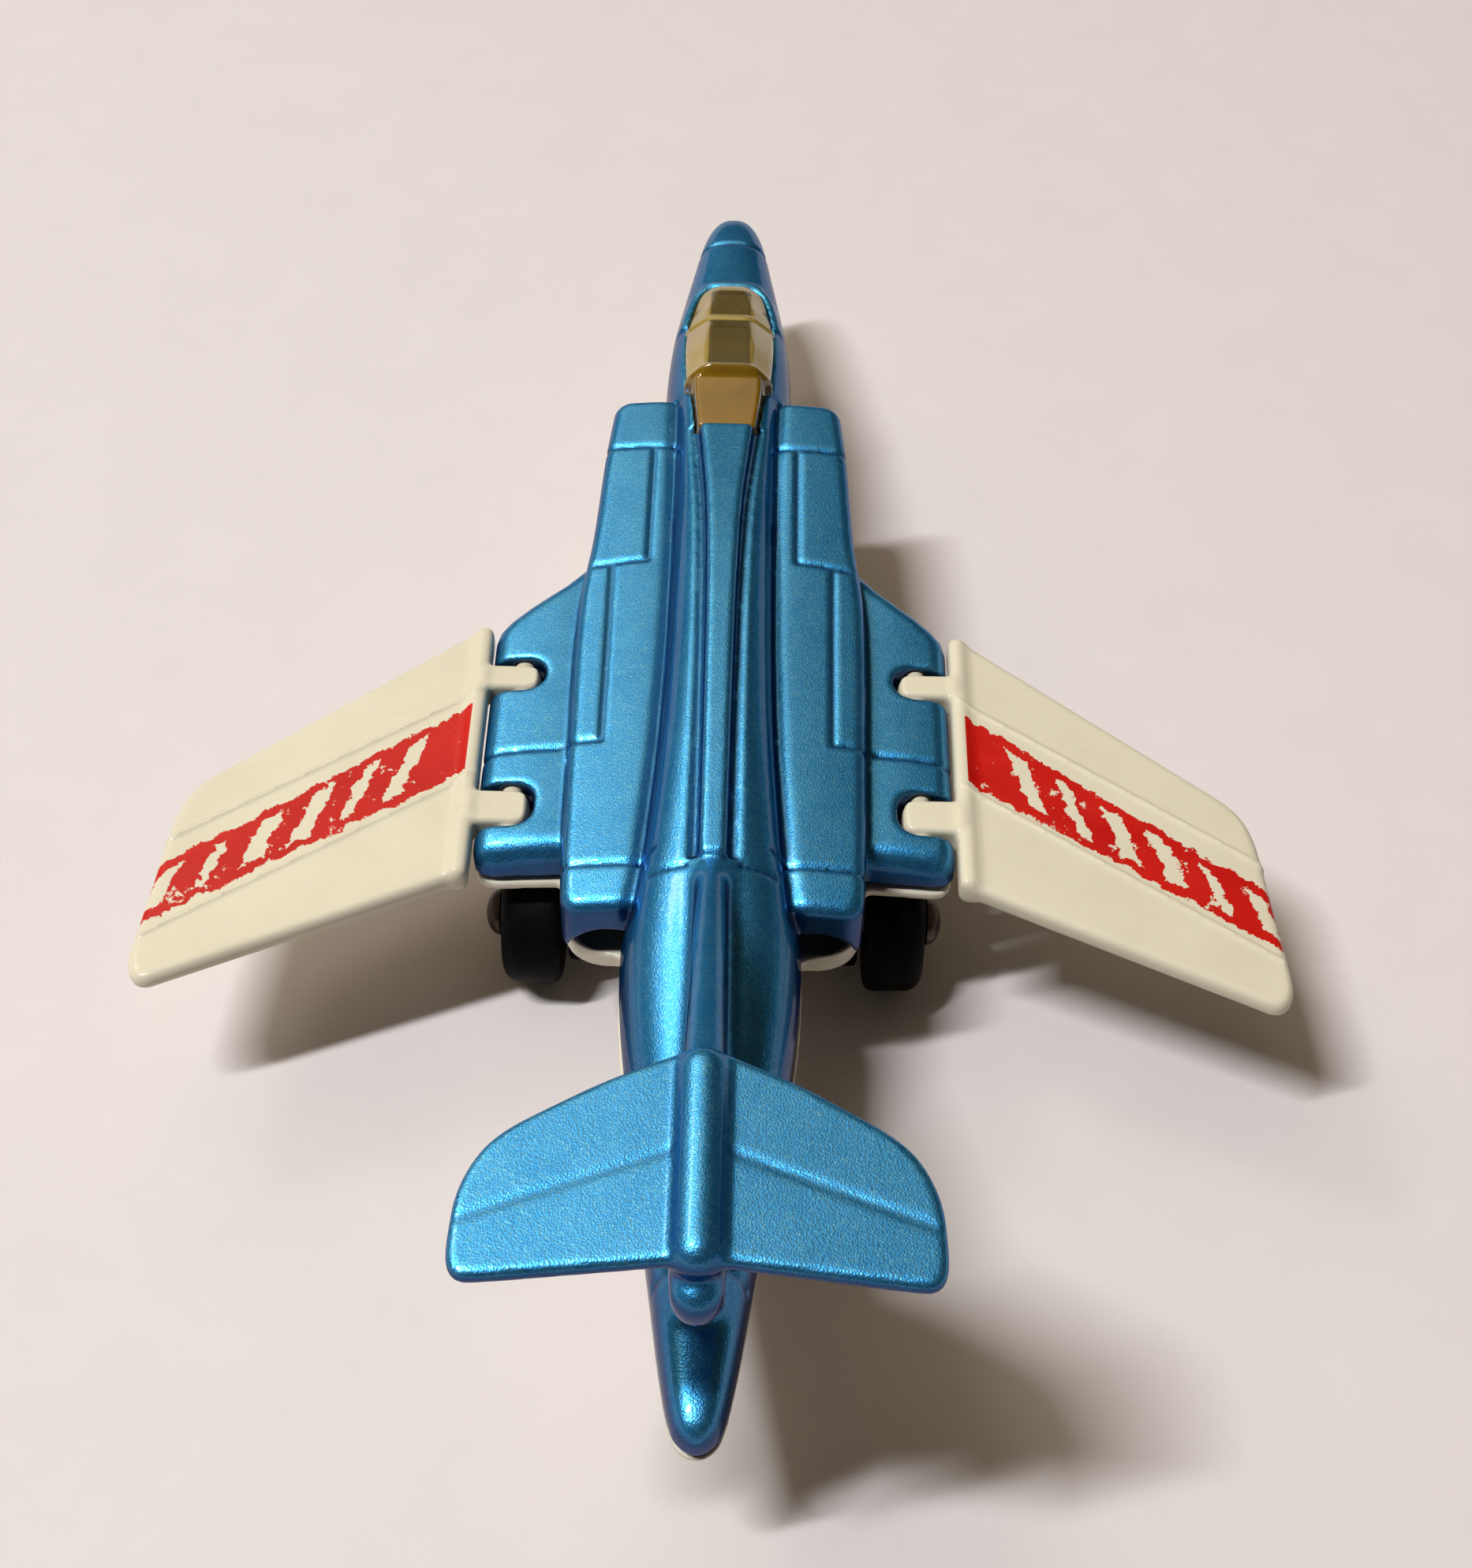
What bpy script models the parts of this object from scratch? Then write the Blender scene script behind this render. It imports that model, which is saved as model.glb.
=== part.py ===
"""Pocket-size toy jet: a die-cast upper body on a plastic base, wings that fold up, three wheels.

Pieces are modelled in millimetres, and finish() turns each into metres. The nose points along +Y,
the right wing along +X, and the wheels stand on z = 0 under the middle of the length.
"""

import math

import bmesh
import bpy
from mathutils import Matrix, Vector

MM = 0.001
GAP = 0.3
FLATNESS = 0.0005
SIDES = {"left": -1, "right": 1}

# Where the die-cast upper body meets the plastic base.
CAST_BOTTOM = 10.2
BASE_TOP = CAST_BOTTOM - GAP

# Each piece that a Boolean joins runs past the split by its own amount, so that no ends share a plane.
FUSELAGE_OVERRUN = 1.0
NACELLE_OVERRUN = 1.4
BLOCK_OVERRUN = 1.8
PLATE_OVERRUN = 0.6
CUTTER_OVERRUN = 2.5
SIDE_STAGGER = 0.07

# Fuselage, nose to tail: (y, half width at the split, top height, belly height).
FUSELAGE = [
    (47.7, 0.50, 11.0, 9.4),
    (46.9, 1.25, 11.6, 9.0),
    (45.3, 1.90, 12.2, 8.5),
    (43.0, 2.40, 12.8, 7.9),
    (40.0, 2.85, 13.4, 7.5),
    (36.5, 3.35, 14.1, 7.1),
    (31.5, 3.95, 15.1, 6.7),
    (26.0, 4.20, 15.9, 6.4),
    (17.0, 4.00, 16.9, 6.4),
    (6.0, 3.75, 17.8, 6.4),
    (-5.0, 3.90, 17.9, 6.4),
    (-13.0, 4.45, 17.5, 6.4),
    (-19.0, 5.00, 17.0, 6.4),
    (-24.0, 4.85, 16.3, 6.7),
    (-31.0, 3.90, 15.2, 7.5),
    (-38.7, 2.65, 13.9, 8.4),
    (-44.0, 1.80, 12.9, 9.0),
    (-46.4, 1.20, 12.4, 9.2),
    (-47.3, 0.50, 11.7, 9.5),
]
FUSELAGE_STEP = 3.0
BOXINESS = 2.7

SPINE_START_Y = 18.0
SPINE_END_Y = -17.0
SPINE_RISE = 0.55

# Engine nacelles in the casting, front to rear: (y, outer half width, top height).
NACELLE = [
    (23.2, 7.3, 14.9),
    (18.7, 7.7, 15.0),
    (11.0, 8.1, 15.0),
    (5.0, 8.6, 15.0),
    (-6.0, 8.55, 15.0),
    (-14.8, 8.45, 14.9),
    (-17.9, 8.3, 14.3),
]
# The same pods in the base, whose rear ends round inwards: (y, outer half width, belly height).
BASE_POD = [
    (23.2, 7.3, 6.8),
    (18.7, 7.7, 6.6),
    (8.0, 8.2, 6.6),
    (-4.5, 8.5, 6.6),
    (-14.0, 8.6, 6.7),
    (-16.0, 8.25, 7.0),
    (-17.3, 7.4, 7.3),
    (-18.2, 5.6, 7.7),
]
BASE_POD_WALL = 0.6
NACELLE_INNER_X = 1.2
NACELLE_CORNER = 1.3
NACELLE_BELLY_CORNER = 1.9
INTAKE_DEPTH = 1.5
INTAKE_LIP = 0.9
INTAKE_INNER_X = 5.0

NOZZLE_X = 5.7
NOZZLE_Z = 10.0
NOZZLE_BORE = 2.2
NOZZLE_FRONT_Y = -11.0

# Wing-root blocks, right side, and the fold hinge in each.
BLOCK_OUTLINE = [
    (5.0, 14.5), (7.3, 13.2), (7.95, 11.6), (8.7, 10.1), (9.8, 8.8), (11.95, 6.85),
    (13.0, 5.8), (13.65, 4.4), (13.65, -12.1), (13.2, -12.9), (7.8, -12.6), (5.0, -12.6),
]
BLOCK_TOP = 12.6
BLOCK_OUTER_X = 13.65
BLOCK_EDGE = 0.95
ROOT_PLATE_BOTTOM = 9.2
ROOT_PLATE_SHOWS = 0.25
HINGE_X = 11.8
HINGE_Z = 11.3
ROD_RADIUS = 0.6
ROD_ENDS_Y = (3.3, -11.6)
ROD_SIDES = 16
FINGER_RADIUS = 1.0
FINGER_CORNER = 0.9
FINGER_HALF_HEIGHT = 0.93
SLOT_CORNER = 1.22
# Each slot and the finger in it: (slot front, finger front, finger rear, slot rear).
SLOTS = [(2.25, 1.9, 0.1, -0.2), (-7.55, -7.9, -10.25, -10.6)]

# Right wing: (x, y) round its outline, root leading edge first, and the thicker rib along its root.
WING_OUTLINE = [(14.1, 4.9), (14.7, 5.1), (29.6, -6.2), (30.75, -7.6), (31.35, -9.8), (32.2, -18.8),
                (31.9, -20.4), (31.0, -20.9), (14.1, -13.95)]
WING_ROOT_THICKNESS = 1.4
WING_TIP_THICKNESS = 1.2
WING_DROOP = math.radians(4.0)
ROOT_RIB = (13.98, 14.55, -13.9, 4.95)
ROOT_RIB_HALF_HEIGHT = 0.95

# Tail: fin side view as (y, z), and the right half of the stabiliser as (x, y).
FIN_OUTLINE = [(-15.5, 16.0), (-17.0, 17.4), (-34.8, 26.0), (-37.0, 27.0), (-46.3, 27.0), (-47.7, 24.4),
               (-45.6, 23.2), (-41.3, 12.4), (-38.0, 12.0)]
FIN_THICKNESS = 1.9
FIN_CAP_RADIUS = 1.15
FIN_CAP_Z = 26.75
FIN_CAP_ENDS_Y = (-35.6, -46.9)
STABILISER_OUTLINE = [(0.0, -34.9), (4.2, -36.7), (7.3, -38.5), (9.1, -39.8), (10.2, -41.2), (10.75, -43.0),
                      (10.85, -45.6), (10.6, -46.5), (10.0, -46.85), (0.0, -45.9)]
STABILISER_Z = (26.1, 27.1)

# Canopy plan: (y, half width), front to rear, and its side view: (y, top height).
CANOPY_PLAN = [(35.4, 1.55), (34.5, 2.15), (32.8, 2.55), (30.4, 2.85), (26.5, 2.9), (23.6, 2.8), (22.8, 2.4),
               (18.4, 1.95)]
CANOPY_TOP = [(35.4, 14.6), (33.0, 15.3), (30.4, 16.1), (27.0, 17.2), (23.6, 17.9), (22.9, 17.9),
              (22.4, 17.2), (18.4, 17.1)]
CANOPY_BOTTOM = 13.6
CANOPY_WALL = 0.8
CANOPY_HOLLOW_TOP = 15.4
TONGUE_THICKNESS = 0.8
FRONT_TONGUE_TOP = 12.0
REAR_TONGUE_TOP = 14.6

# Floor that the casting keeps below the canopy: (rear, front, bottom, top).
COCKPIT_FLOOR = (24.3, 32.0, 12.2, 13.1)
COCKPIT_HALF_WIDTH = 3.28

# Cavities in the casting and the base.
WALL = 1.3
CORE_HALF_WIDTH = 2.3
CORE_FRONT_Y = 36.5
CORE_REAR_Y = -33.0
CORE_CORNER = 0.9
POD_INNER_X = 3.5
POD_FRONT_Y = 19.5
POD_REAR_Y = -11.5
POD_CORE_OUTER_X = 6.8
POD_CORE_TOP = 13.7
BASE_FLOOR = 7.7
TRAY_ENDS_Y = (18.0, -25.0)
POD_OUTER_X = 6.3
POD_FLOOR = 8.3

# Rivets through the base into posts under the casting's roof.
RIVETS = {"front_rivet": 12.5, "rear_rivet": -24.0}
POST_RADIUS = 1.7
RIVET_SHANK = 0.8
RIVET_HEAD = 1.6
RIVET_TOP = 13.2

# Undercarriage.
WHEEL_RADIUS = 4.15
WHEEL_X = (8.9, 12.35)
WHEEL_SHOULDER = 1.0
MAIN_AXLE_Y = -10.7
AXLE_RADIUS = 0.6
AXLE_HEAD_RADIUS = 1.4
AXLE_HEAD_LENGTH = 1.0
FRAME_LEG_X = (7.2, 8.55)
FRAME_HALF_LENGTH = 2.2
FRAME_TOP = 6.1
FRAME_BAR_BOTTOM = 5.1
FRAME_LEG_BOTTOM = 2.3
PEG_X = 5.0
PEG_RADIUS = 0.9
PEG_TOP = 8.2
NOSE_WHEEL_RADIUS = 2.4
NOSE_WHEEL_HALF_WIDTH = 0.9
NOSE_WHEEL_Y = 31.0
NOSE_LEG_X = (1.25, 2.15)
NOSE_LEG_HALF_LENGTH = 1.5
NOSE_AXLE_RADIUS = 0.5
BELLY_PAD = (3.2, -6.0, 9.0, 6.1)


def clear_scene():
    for obj in list(bpy.data.objects):
        bpy.data.objects.remove(obj, do_unlink=True)


def plastic_or_metal(name, colour, roughness, metallic=0.0, transmission=0.0):
    material = bpy.data.materials.new(name)
    material.use_nodes = True
    shader = material.node_tree.nodes["Principled BSDF"]
    shader.inputs["Base Color"].default_value = (*colour, 1.0)
    shader.inputs["Roughness"].default_value = roughness
    shader.inputs["Metallic"].default_value = metallic
    shader.inputs["Transmission Weight"].default_value = transmission
    material.diffuse_color = (*colour, 1.0)
    return material


def mesh_object(name, points, faces):
    """A linked object with outward faces."""
    mesh = bpy.data.meshes.new(name)
    mesh.from_pydata([Vector(point) for point in points], [], faces)
    shape = bmesh.new()
    shape.from_mesh(mesh)
    bmesh.ops.recalc_face_normals(shape, faces=shape.faces)
    shape.to_mesh(mesh)
    shape.free()
    obj = bpy.data.objects.new(name, mesh)
    bpy.context.scene.collection.objects.link(obj)
    return obj


def loft(name, rings):
    """One closed body through rings of equal length, capped at both ends."""
    count = len(rings[0])
    points = [point for ring in rings for point in ring]
    faces = []
    for start in range(0, count * (len(rings) - 1), count):
        for j in range(count):
            here, after = start + j, start + (j + 1) % count
            faces.append((here, after, after + count, here + count))
    faces.append(tuple(range(count)))
    faces.append(tuple(range(len(points) - count, len(points))))
    return mesh_object(name, points, faces)


def box(name, low, high):
    corners = [(low[0], low[1]), (high[0], low[1]), (high[0], high[1]), (low[0], high[1])]
    return prism(name, corners, low[2], high[2])


def prism(name, outline, bottom, top):
    """An outline in x and y, pulled along z."""
    return loft(name, [[(x, y, bottom) for x, y in outline], [(x, y, top) for x, y in outline]])


def rod(name, axis, centre, radius, start, end, sides=24):
    """A round bar along the axis "X", "Y" or "Z", between two places on it."""
    rings = []
    for place in (start, end):
        ring = []
        for i in range(sides):
            angle = math.tau * i / sides
            u, v = radius * math.cos(angle), radius * math.sin(angle)
            if axis == "X":
                ring.append((place, centre[0] + u, centre[1] + v))
            elif axis == "Y":
                ring.append((centre[0] + u, place, centre[1] + v))
            else:
                ring.append((centre[0] + u, centre[1] + v, place))
        rings.append(ring)
    return loft(name, rings)


def turned(name, profile, centre_y, centre_z, sides=32):
    """A closed profile of (x, radius) points turned about a line along X."""
    rings = []
    for i in range(sides):
        angle = math.tau * i / sides
        up, across = math.sin(angle), math.cos(angle)
        rings.append([(x, centre_y + r * across, centre_z + r * up) for x, r in profile])
    count = len(profile)
    points = [point for ring in rings for point in ring]
    faces = []
    for i in range(sides):
        start, following = i * count, (i + 1) % sides * count
        for j in range(count):
            k = (j + 1) % count
            faces.append((start + j, start + k, following + k, following + j))
    obj = mesh_object(name, points, faces)
    weld(obj)
    return obj


def weld(obj):
    """Merges points that share a place and drops the faces that had no area."""
    shape = bmesh.new()
    shape.from_mesh(obj.data)
    bmesh.ops.remove_doubles(shape, verts=shape.verts, dist=0.001)
    bmesh.ops.dissolve_degenerate(shape, edges=shape.edges, dist=0.001)
    bmesh.ops.recalc_face_normals(shape, faces=shape.faces)
    shape.to_mesh(obj.data)
    shape.free()


def apply_modifiers(obj):
    graph = bpy.context.evaluated_depsgraph_get()
    mesh = bpy.data.meshes.new_from_object(obj.evaluated_get(graph))
    obj.modifiers.clear()
    obj.data = mesh


def bend(face):
    """How far a face's corners stand from its plane."""
    middle = face.calc_center_median()
    return max(abs((vert.co - middle).dot(face.normal)) for vert in face.verts)


def split_bent_faces(obj):
    """Splits every face that isn't flat, so that a Boolean sees the surface it cuts."""
    shape = bmesh.new()
    shape.from_mesh(obj.data)
    bent = [face for face in shape.faces if len(face.verts) > 3 and bend(face) > FLATNESS]
    bmesh.ops.triangulate(shape, faces=bent)
    shape.to_mesh(obj.data)
    shape.free()


def combine(target, other, operation):
    split_bent_faces(target)
    split_bent_faces(other)
    modifier = target.modifiers.new(operation.lower(), "BOOLEAN")
    modifier.operation = operation
    modifier.solver = "EXACT"
    modifier.object = other
    apply_modifiers(target)
    bpy.data.objects.remove(other, do_unlink=True)


def add(target, *others):
    for other in others:
        combine(target, other, "UNION")


def cut(target, *others):
    for other in others:
        combine(target, other, "DIFFERENCE")


def soften(obj, width, segments=2, angle=40.0):
    modifier = obj.modifiers.new("rounded_edges", "BEVEL")
    modifier.width = width
    modifier.segments = segments
    modifier.limit_method = "ANGLE"
    modifier.angle_limit = math.radians(angle)
    apply_modifiers(obj)


def mirror_to(obj, side):
    """Turns a right-hand piece into its left-hand twin when side is -1."""
    if side < 0:
        obj.data.transform(Matrix.Scale(-1.0, 4, Vector((1.0, 0.0, 0.0))))
        obj.data.flip_normals()


def move_origin(obj, point):
    """Puts the object's origin at a point without moving its shape."""
    place = Vector(point)
    obj.data.transform(Matrix.Translation(-place))
    obj.location = place


def finish(obj, name, material):
    """Turns a piece from millimetres into metres and gives it its name, material and shading."""
    obj.data.transform(Matrix.Scale(MM, 4))
    obj.location *= MM
    obj.name = name
    obj.data.name = name
    obj.data.materials.clear()
    obj.data.materials.append(material)
    obj.data.shade_smooth()
    obj.data.set_sharp_from_angle(angle=math.radians(35.0))
    return obj


def along(rows, y):
    """The other columns of rows at a place y, on a smooth curve. Rows run from high y to low."""
    last = len(rows) - 1
    after = next((i for i in range(1, last) if rows[i][0] <= y), last)
    before = after - 1
    first, second = rows[before], rows[after]
    ahead, behind = rows[max(before - 1, 0)], rows[min(after + 1, last)]
    span = second[0] - first[0]
    t = (y - first[0]) / span
    values = []
    for column in range(1, len(first)):
        leave = (second[column] - ahead[column]) / (second[0] - ahead[0]) * span
        arrive = (behind[column] - first[column]) / (behind[0] - first[0]) * span
        values.append(
            (2 * t**3 - 3 * t**2 + 1) * first[column]
            + (t**3 - 2 * t**2 + t) * leave
            + (3 * t**2 - 2 * t**3) * second[column]
            + (t**3 - t**2) * arrive
        )
    return values


def linear_rows(rows, y):
    """The other columns of rows at a place y, on straight lines between them."""
    for (start, *first), (end, *second) in zip(rows, rows[1:]):
        if end <= y <= start:
            share = (start - y) / (start - end)
            return [a + (b - a) * share for a, b in zip(first, second)]
    return list(rows[-1][1:])


def places(rows, step):
    """The rows' own y places and enough between them that none is further than step from the next."""
    found = [rows[0][0]]
    for (start, *_), (end, *_) in zip(rows, rows[1:]):
        count = math.ceil((start - end) / step)
        found += [start + (end - start) * i / count for i in range(1, count + 1)]
    return found


def arch(half_width, height, y, foot, steps=20):
    """A superellipse arch standing on z = foot, from +X to -X. A negative height hangs it below."""
    points = []
    for i in range(steps + 1):
        angle = math.pi * i / steps
        across, up = math.cos(angle), math.sin(angle)
        x = half_width * math.copysign(abs(across) ** (2 / BOXINESS), across)
        points.append((x, y, foot + height * abs(up) ** (2 / BOXINESS)))
    return points


def fuselage_half(upper, inset=0.0, front=None, rear=None):
    """Upper or lower half of the fuselage, run past the split so that a flat cut can end it."""
    rings = []
    for y in places(FUSELAGE, FUSELAGE_STEP):
        if front is not None and not rear <= y <= front:
            continue
        half_width, top, belly = along(FUSELAGE, y)
        height = top - CAST_BOTTOM if upper else belly - BASE_TOP
        foot = CAST_BOTTOM if upper else BASE_TOP
        overrun = -FUSELAGE_OVERRUN if upper else FUSELAGE_OVERRUN
        half_width -= inset
        ring = arch(half_width, height - math.copysign(inset, height), y, foot)
        ring += [(-half_width, y, foot + overrun), (half_width, y, foot + overrun)]
        rings.append(ring)
    return loft("fuselage_half", rings)


def corner(x, z, radius, start, steps=4):
    """A quarter round about (x, z), from the angle start, in degrees."""
    angles = [math.radians(start + 90.0 * i / steps) for i in range(steps + 1)]
    return [(x + radius * math.cos(a), z + radius * math.sin(a)) for a in angles]


def casting_pod(side):
    """The upper half of an engine nacelle, with its mouth and its jet pipe."""
    overrun = NACELLE_OVERRUN + SIDE_STAGGER * side
    inner = NACELLE_INNER_X + SIDE_STAGGER * side
    rings = []
    for y in places(NACELLE, 6.0):
        outer, top = along(NACELLE, y)
        section = [(inner, CAST_BOTTOM - overrun), (outer, CAST_BOTTOM - overrun)]
        section += corner(outer - NACELLE_CORNER, top - NACELLE_CORNER, NACELLE_CORNER, 0.0) + [(inner, top)]
        rings.append([(side * x, y, z) for x, z in section])
    pod = loft("casting_pod", rings)
    soften(pod, 0.6, 2, 60.0)
    outer, top = along(NACELLE, NACELLE[0][0])
    cut(pod, intake(side, outer, CAST_BOTTOM - CUTTER_OVERRUN, top - INTAKE_LIP), nozzle_bore(side))
    return pod


def base_pod(side):
    """The lower half of an engine nacelle, whose rear end rounds inwards below the jet pipe."""
    overrun = NACELLE_OVERRUN + SIDE_STAGGER * side
    inner = NACELLE_INNER_X + SIDE_STAGGER * side
    radius = NACELLE_BELLY_CORNER
    rings = []
    for y in places(BASE_POD, 6.0):
        outer, belly = linear_rows(BASE_POD, y)
        section = [(inner, BASE_TOP + overrun), (inner, belly)]
        section += corner(outer - radius, belly + radius, radius, 270.0) + [(outer, BASE_TOP + overrun)]
        rings.append([(side * x, y, z) for x, z in section])
    pod = loft("base_pod", rings)
    outer, belly = BASE_POD[0][1:]
    cut(pod, intake(side, outer, belly + INTAKE_LIP, BASE_TOP + CUTTER_OVERRUN))
    return pod


def intake(side, outer, low, high):
    """The shallow mouth at the front of a nacelle, inside its lip."""
    front = NACELLE[0][0]
    low_x, high_x = sorted((side * INTAKE_INNER_X, side * (outer - INTAKE_LIP)))
    return box("intake", (low_x, front - INTAKE_DEPTH, low), (high_x, front + 1.0, high))


def nozzle_bore(side):
    centre = (side * NOZZLE_X, NOZZLE_Z)
    return rod("nozzle_bore", "Y", centre, NOZZLE_BORE, NOZZLE_FRONT_Y, NACELLE[-1][0] - 1.0)


def mirrored(outline, side):
    return [(side * x, y) for x, y in outline]


def round_end(end_x, front, rear, radius):
    """The inner end of a slot or a finger in plan, from its front edge to its rear edge."""
    front_arc = corner(end_x + radius, front - radius, radius, 90.0)
    rear_arc = corner(end_x + radius, rear + radius, radius, 180.0)
    return tidy_outline(front_arc + rear_arc)


def slots(side):
    """The two openings for the wing's fingers, round at their inner ends, open at the block's outer edge."""
    end_x = HINGE_X - FINGER_RADIUS - GAP
    outer = BLOCK_OUTER_X + 1.0
    for front, _, _, rear in SLOTS:
        outline = [(outer, rear), (outer, front)] + round_end(end_x, front, rear, SLOT_CORNER)
        yield prism("slot", mirrored(outline, side), CAST_BOTTOM - CUTTER_OVERRUN, BLOCK_TOP + 1.0)


def rod_channel(side):
    """The groove under a block that the wing's hinge rod turns in."""
    half = ROD_RADIUS + GAP
    front, rear = ROD_ENDS_Y[0] + GAP, ROD_ENDS_Y[1] - GAP
    channel = rod("channel", "Y", (side * HINGE_X, HINGE_Z), half, front, rear)
    low_x, high_x = sorted((side * (HINGE_X - half), side * (HINGE_X + half)))
    bottom = CAST_BOTTOM - CUTTER_OVERRUN - 0.5
    add(channel, box("channel_mouth", (low_x, rear, bottom), (high_x, front, HINGE_Z)))
    return channel


def wing_block(side):
    overrun = BLOCK_OVERRUN + SIDE_STAGGER * side
    block = prism("block", mirrored(BLOCK_OUTLINE, side), CAST_BOTTOM - overrun, BLOCK_TOP)
    soften(block, BLOCK_EDGE, 3)
    cut(block, *slots(side), rod_channel(side))
    return block


def spine():
    """The rounded ridge along the fuselage top, from the canopy to the fin."""
    rings = []
    rows = [(SPINE_START_Y, 1.65), (11.0, 1.15), (4.0, 0.9), (SPINE_END_Y, 0.8)]
    for y in places(rows, 5.5):
        half_width = along(rows, y)[0]
        top = along(FUSELAGE, y)[1] + SPINE_RISE
        rings.append([(x, y, z) for x, z in (
            (half_width, top - 1.6), (half_width, top - 0.45), (0.55 * half_width, top),
            (-0.55 * half_width, top), (-half_width, top - 0.45), (-half_width, top - 1.6))])
    return loft("spine", rings)


def fin():
    half = FIN_THICKNESS / 2
    rings = [[(x, y, z) for y, z in FIN_OUTLINE] for x in (-half, half)]
    blade = loft("fin", rings)
    soften(blade, 0.5, 2, 60.0)
    add(blade, rod("fin_cap", "Y", (0.0, FIN_CAP_Z), FIN_CAP_RADIUS, *FIN_CAP_ENDS_Y, sides=16))
    return blade


def stabiliser():
    right = STABILISER_OUTLINE
    left = [(-x, y) for x, y in reversed(right[1:-1])]
    slab = prism("stabiliser", right + left, *STABILISER_Z)
    soften(slab, 0.35, 2, 60.0)
    return slab


def canopy_plan(margin):
    right = [(half + margin, y) for y, half in CANOPY_PLAN]
    right[0] = (right[0][0], right[0][1] + margin)
    right[-1] = (right[-1][0], right[-1][1] - margin)
    return right + [(-x, y) for x, y in reversed(right)]


def casting_cores():
    """What the mould's cores leave empty under the casting's roof."""
    bottom = CAST_BOTTOM - CUTTER_OVERRUN
    rings = []
    for y in places([(CORE_FRONT_Y, 0.0), (CORE_REAR_Y, 0.0)], 5.0):
        half_width, top, _ = along(FUSELAGE, y)
        half = min(half_width - WALL, CORE_HALF_WIDTH)
        roof = top - WALL - 0.4
        section = [(half, bottom), (half, roof - CORE_CORNER), (half - CORE_CORNER, roof)]
        section += [(-x, z) for x, z in reversed(section)]
        rings.append([(x, y, z) for x, z in section])
    yield loft("core", rings)
    for side in SIDES.values():
        low_x, high_x = sorted((side * POD_INNER_X, side * POD_CORE_OUTER_X))
        yield box("pod_core", (low_x, POD_REAR_Y, bottom), (high_x, POD_FRONT_Y, POD_CORE_TOP))


def post(y):
    _, top, _ = along(FUSELAGE, y)
    pillar = rod("post", "Z", (0.0, y), POST_RADIUS, CAST_BOTTOM + 0.3, top - 1.0)
    cut(pillar, rod("post_bore", "Z", (0.0, y), RIVET_SHANK + GAP, CAST_BOTTOM - 1.0, RIVET_TOP + GAP))
    return pillar


def make_upper_body(material):
    body = fuselage_half(upper=True)
    for side in SIDES.values():
        add(body, casting_pod(side))
        add(body, wing_block(side))
    add(body, spine(), fin(), stabiliser())
    cut(body, *casting_cores())
    cut(body, prism("canopy_opening", canopy_plan(GAP), CANOPY_BOTTOM - 3.0, 25.0))
    half = COCKPIT_HALF_WIDTH
    rear, front, bottom, top = COCKPIT_FLOOR
    add(body, box("cockpit_floor", (-half, rear, bottom), (half, front, top)))
    for y in RIVETS.values():
        add(body, post(y))
    cut(body, box("split", (-40.0, -60.0, 0.0), (40.0, 60.0, CAST_BOTTOM)))
    return finish(body, "upper_body", material)


def canopy_shell(margin, bottom):
    """The canopy's dome, shrunk all round by a margin."""
    rings = []
    for y in sorted({row[0] for row in CANOPY_PLAN + CANOPY_TOP}, reverse=True):
        place = min(max(y, CANOPY_PLAN[-1][0] + margin), CANOPY_PLAN[0][0] - margin)
        half = linear_rows(CANOPY_PLAN, y)[0] - margin
        top = linear_rows(CANOPY_TOP, y)[0] - margin
        rings.append([(x, place, z) for x, z in (
            (half, bottom), (half, top - 1.3), (0.85 * half, top - 0.5), (0.55 * half, top),
            (-0.55 * half, top), (-0.85 * half, top - 0.5), (-half, top - 1.3), (-half, bottom))])
    return loft("canopy", rings)


def canopy_tongue(low_y, high_y, top, half):
    """A lip that tucks under the casting's roof."""
    return box("tongue", (-half, low_y, top - TONGUE_THICKNESS), (half, high_y, top))


def canopy_web(low_y, high_y, foot, half):
    """A wall that hangs a tongue from the dome."""
    return box("web", (-half, low_y, foot), (half, high_y, CANOPY_BOTTOM + 0.4))


def make_canopy(material):
    """A thin amber dome with a tongue at each end, tucked under the casting's roof."""
    front, rear = CANOPY_PLAN[0][0], CANOPY_PLAN[-1][0]
    dome = canopy_shell(0.0, CANOPY_BOTTOM)
    plan = [(x, min(max(y, rear), front - 2.4)) for x, y in canopy_plan(-CANOPY_WALL)]
    cut(dome, prism("canopy_hollow", tidy_outline(plan), CANOPY_BOTTOM - 1.0, CANOPY_HOLLOW_TOP))
    add(dome, canopy_tongue(front - 1.0, front + 0.9, FRONT_TONGUE_TOP, 0.7))
    add(dome, canopy_web(front - 0.9, front - 0.2, FRONT_TONGUE_TOP - 0.7, 0.65))
    add(dome, canopy_tongue(rear - 1.4, rear + 1.0, REAR_TONGUE_TOP, 1.3))
    add(dome, canopy_web(rear + 0.1, rear + 0.9, REAR_TONGUE_TOP - 0.7, 1.25))
    return finish(dome, "canopy", material)


def tidy_outline(outline):
    found = []
    for point in outline:
        if not found or (Vector(point) - Vector(found[-1])).length > 0.05:
            found.append(point)
    return found


def root_plate(side):
    """The base's thin ledge under a wing-root block, which shows a little behind it."""
    outline = [(x, y - ROOT_PLATE_SHOWS) for x, y in BLOCK_OUTLINE]
    top = BASE_TOP + PLATE_OVERRUN + SIDE_STAGGER * side
    return prism("root_plate", mirrored(outline, side), ROOT_PLATE_BOTTOM, top)


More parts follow.
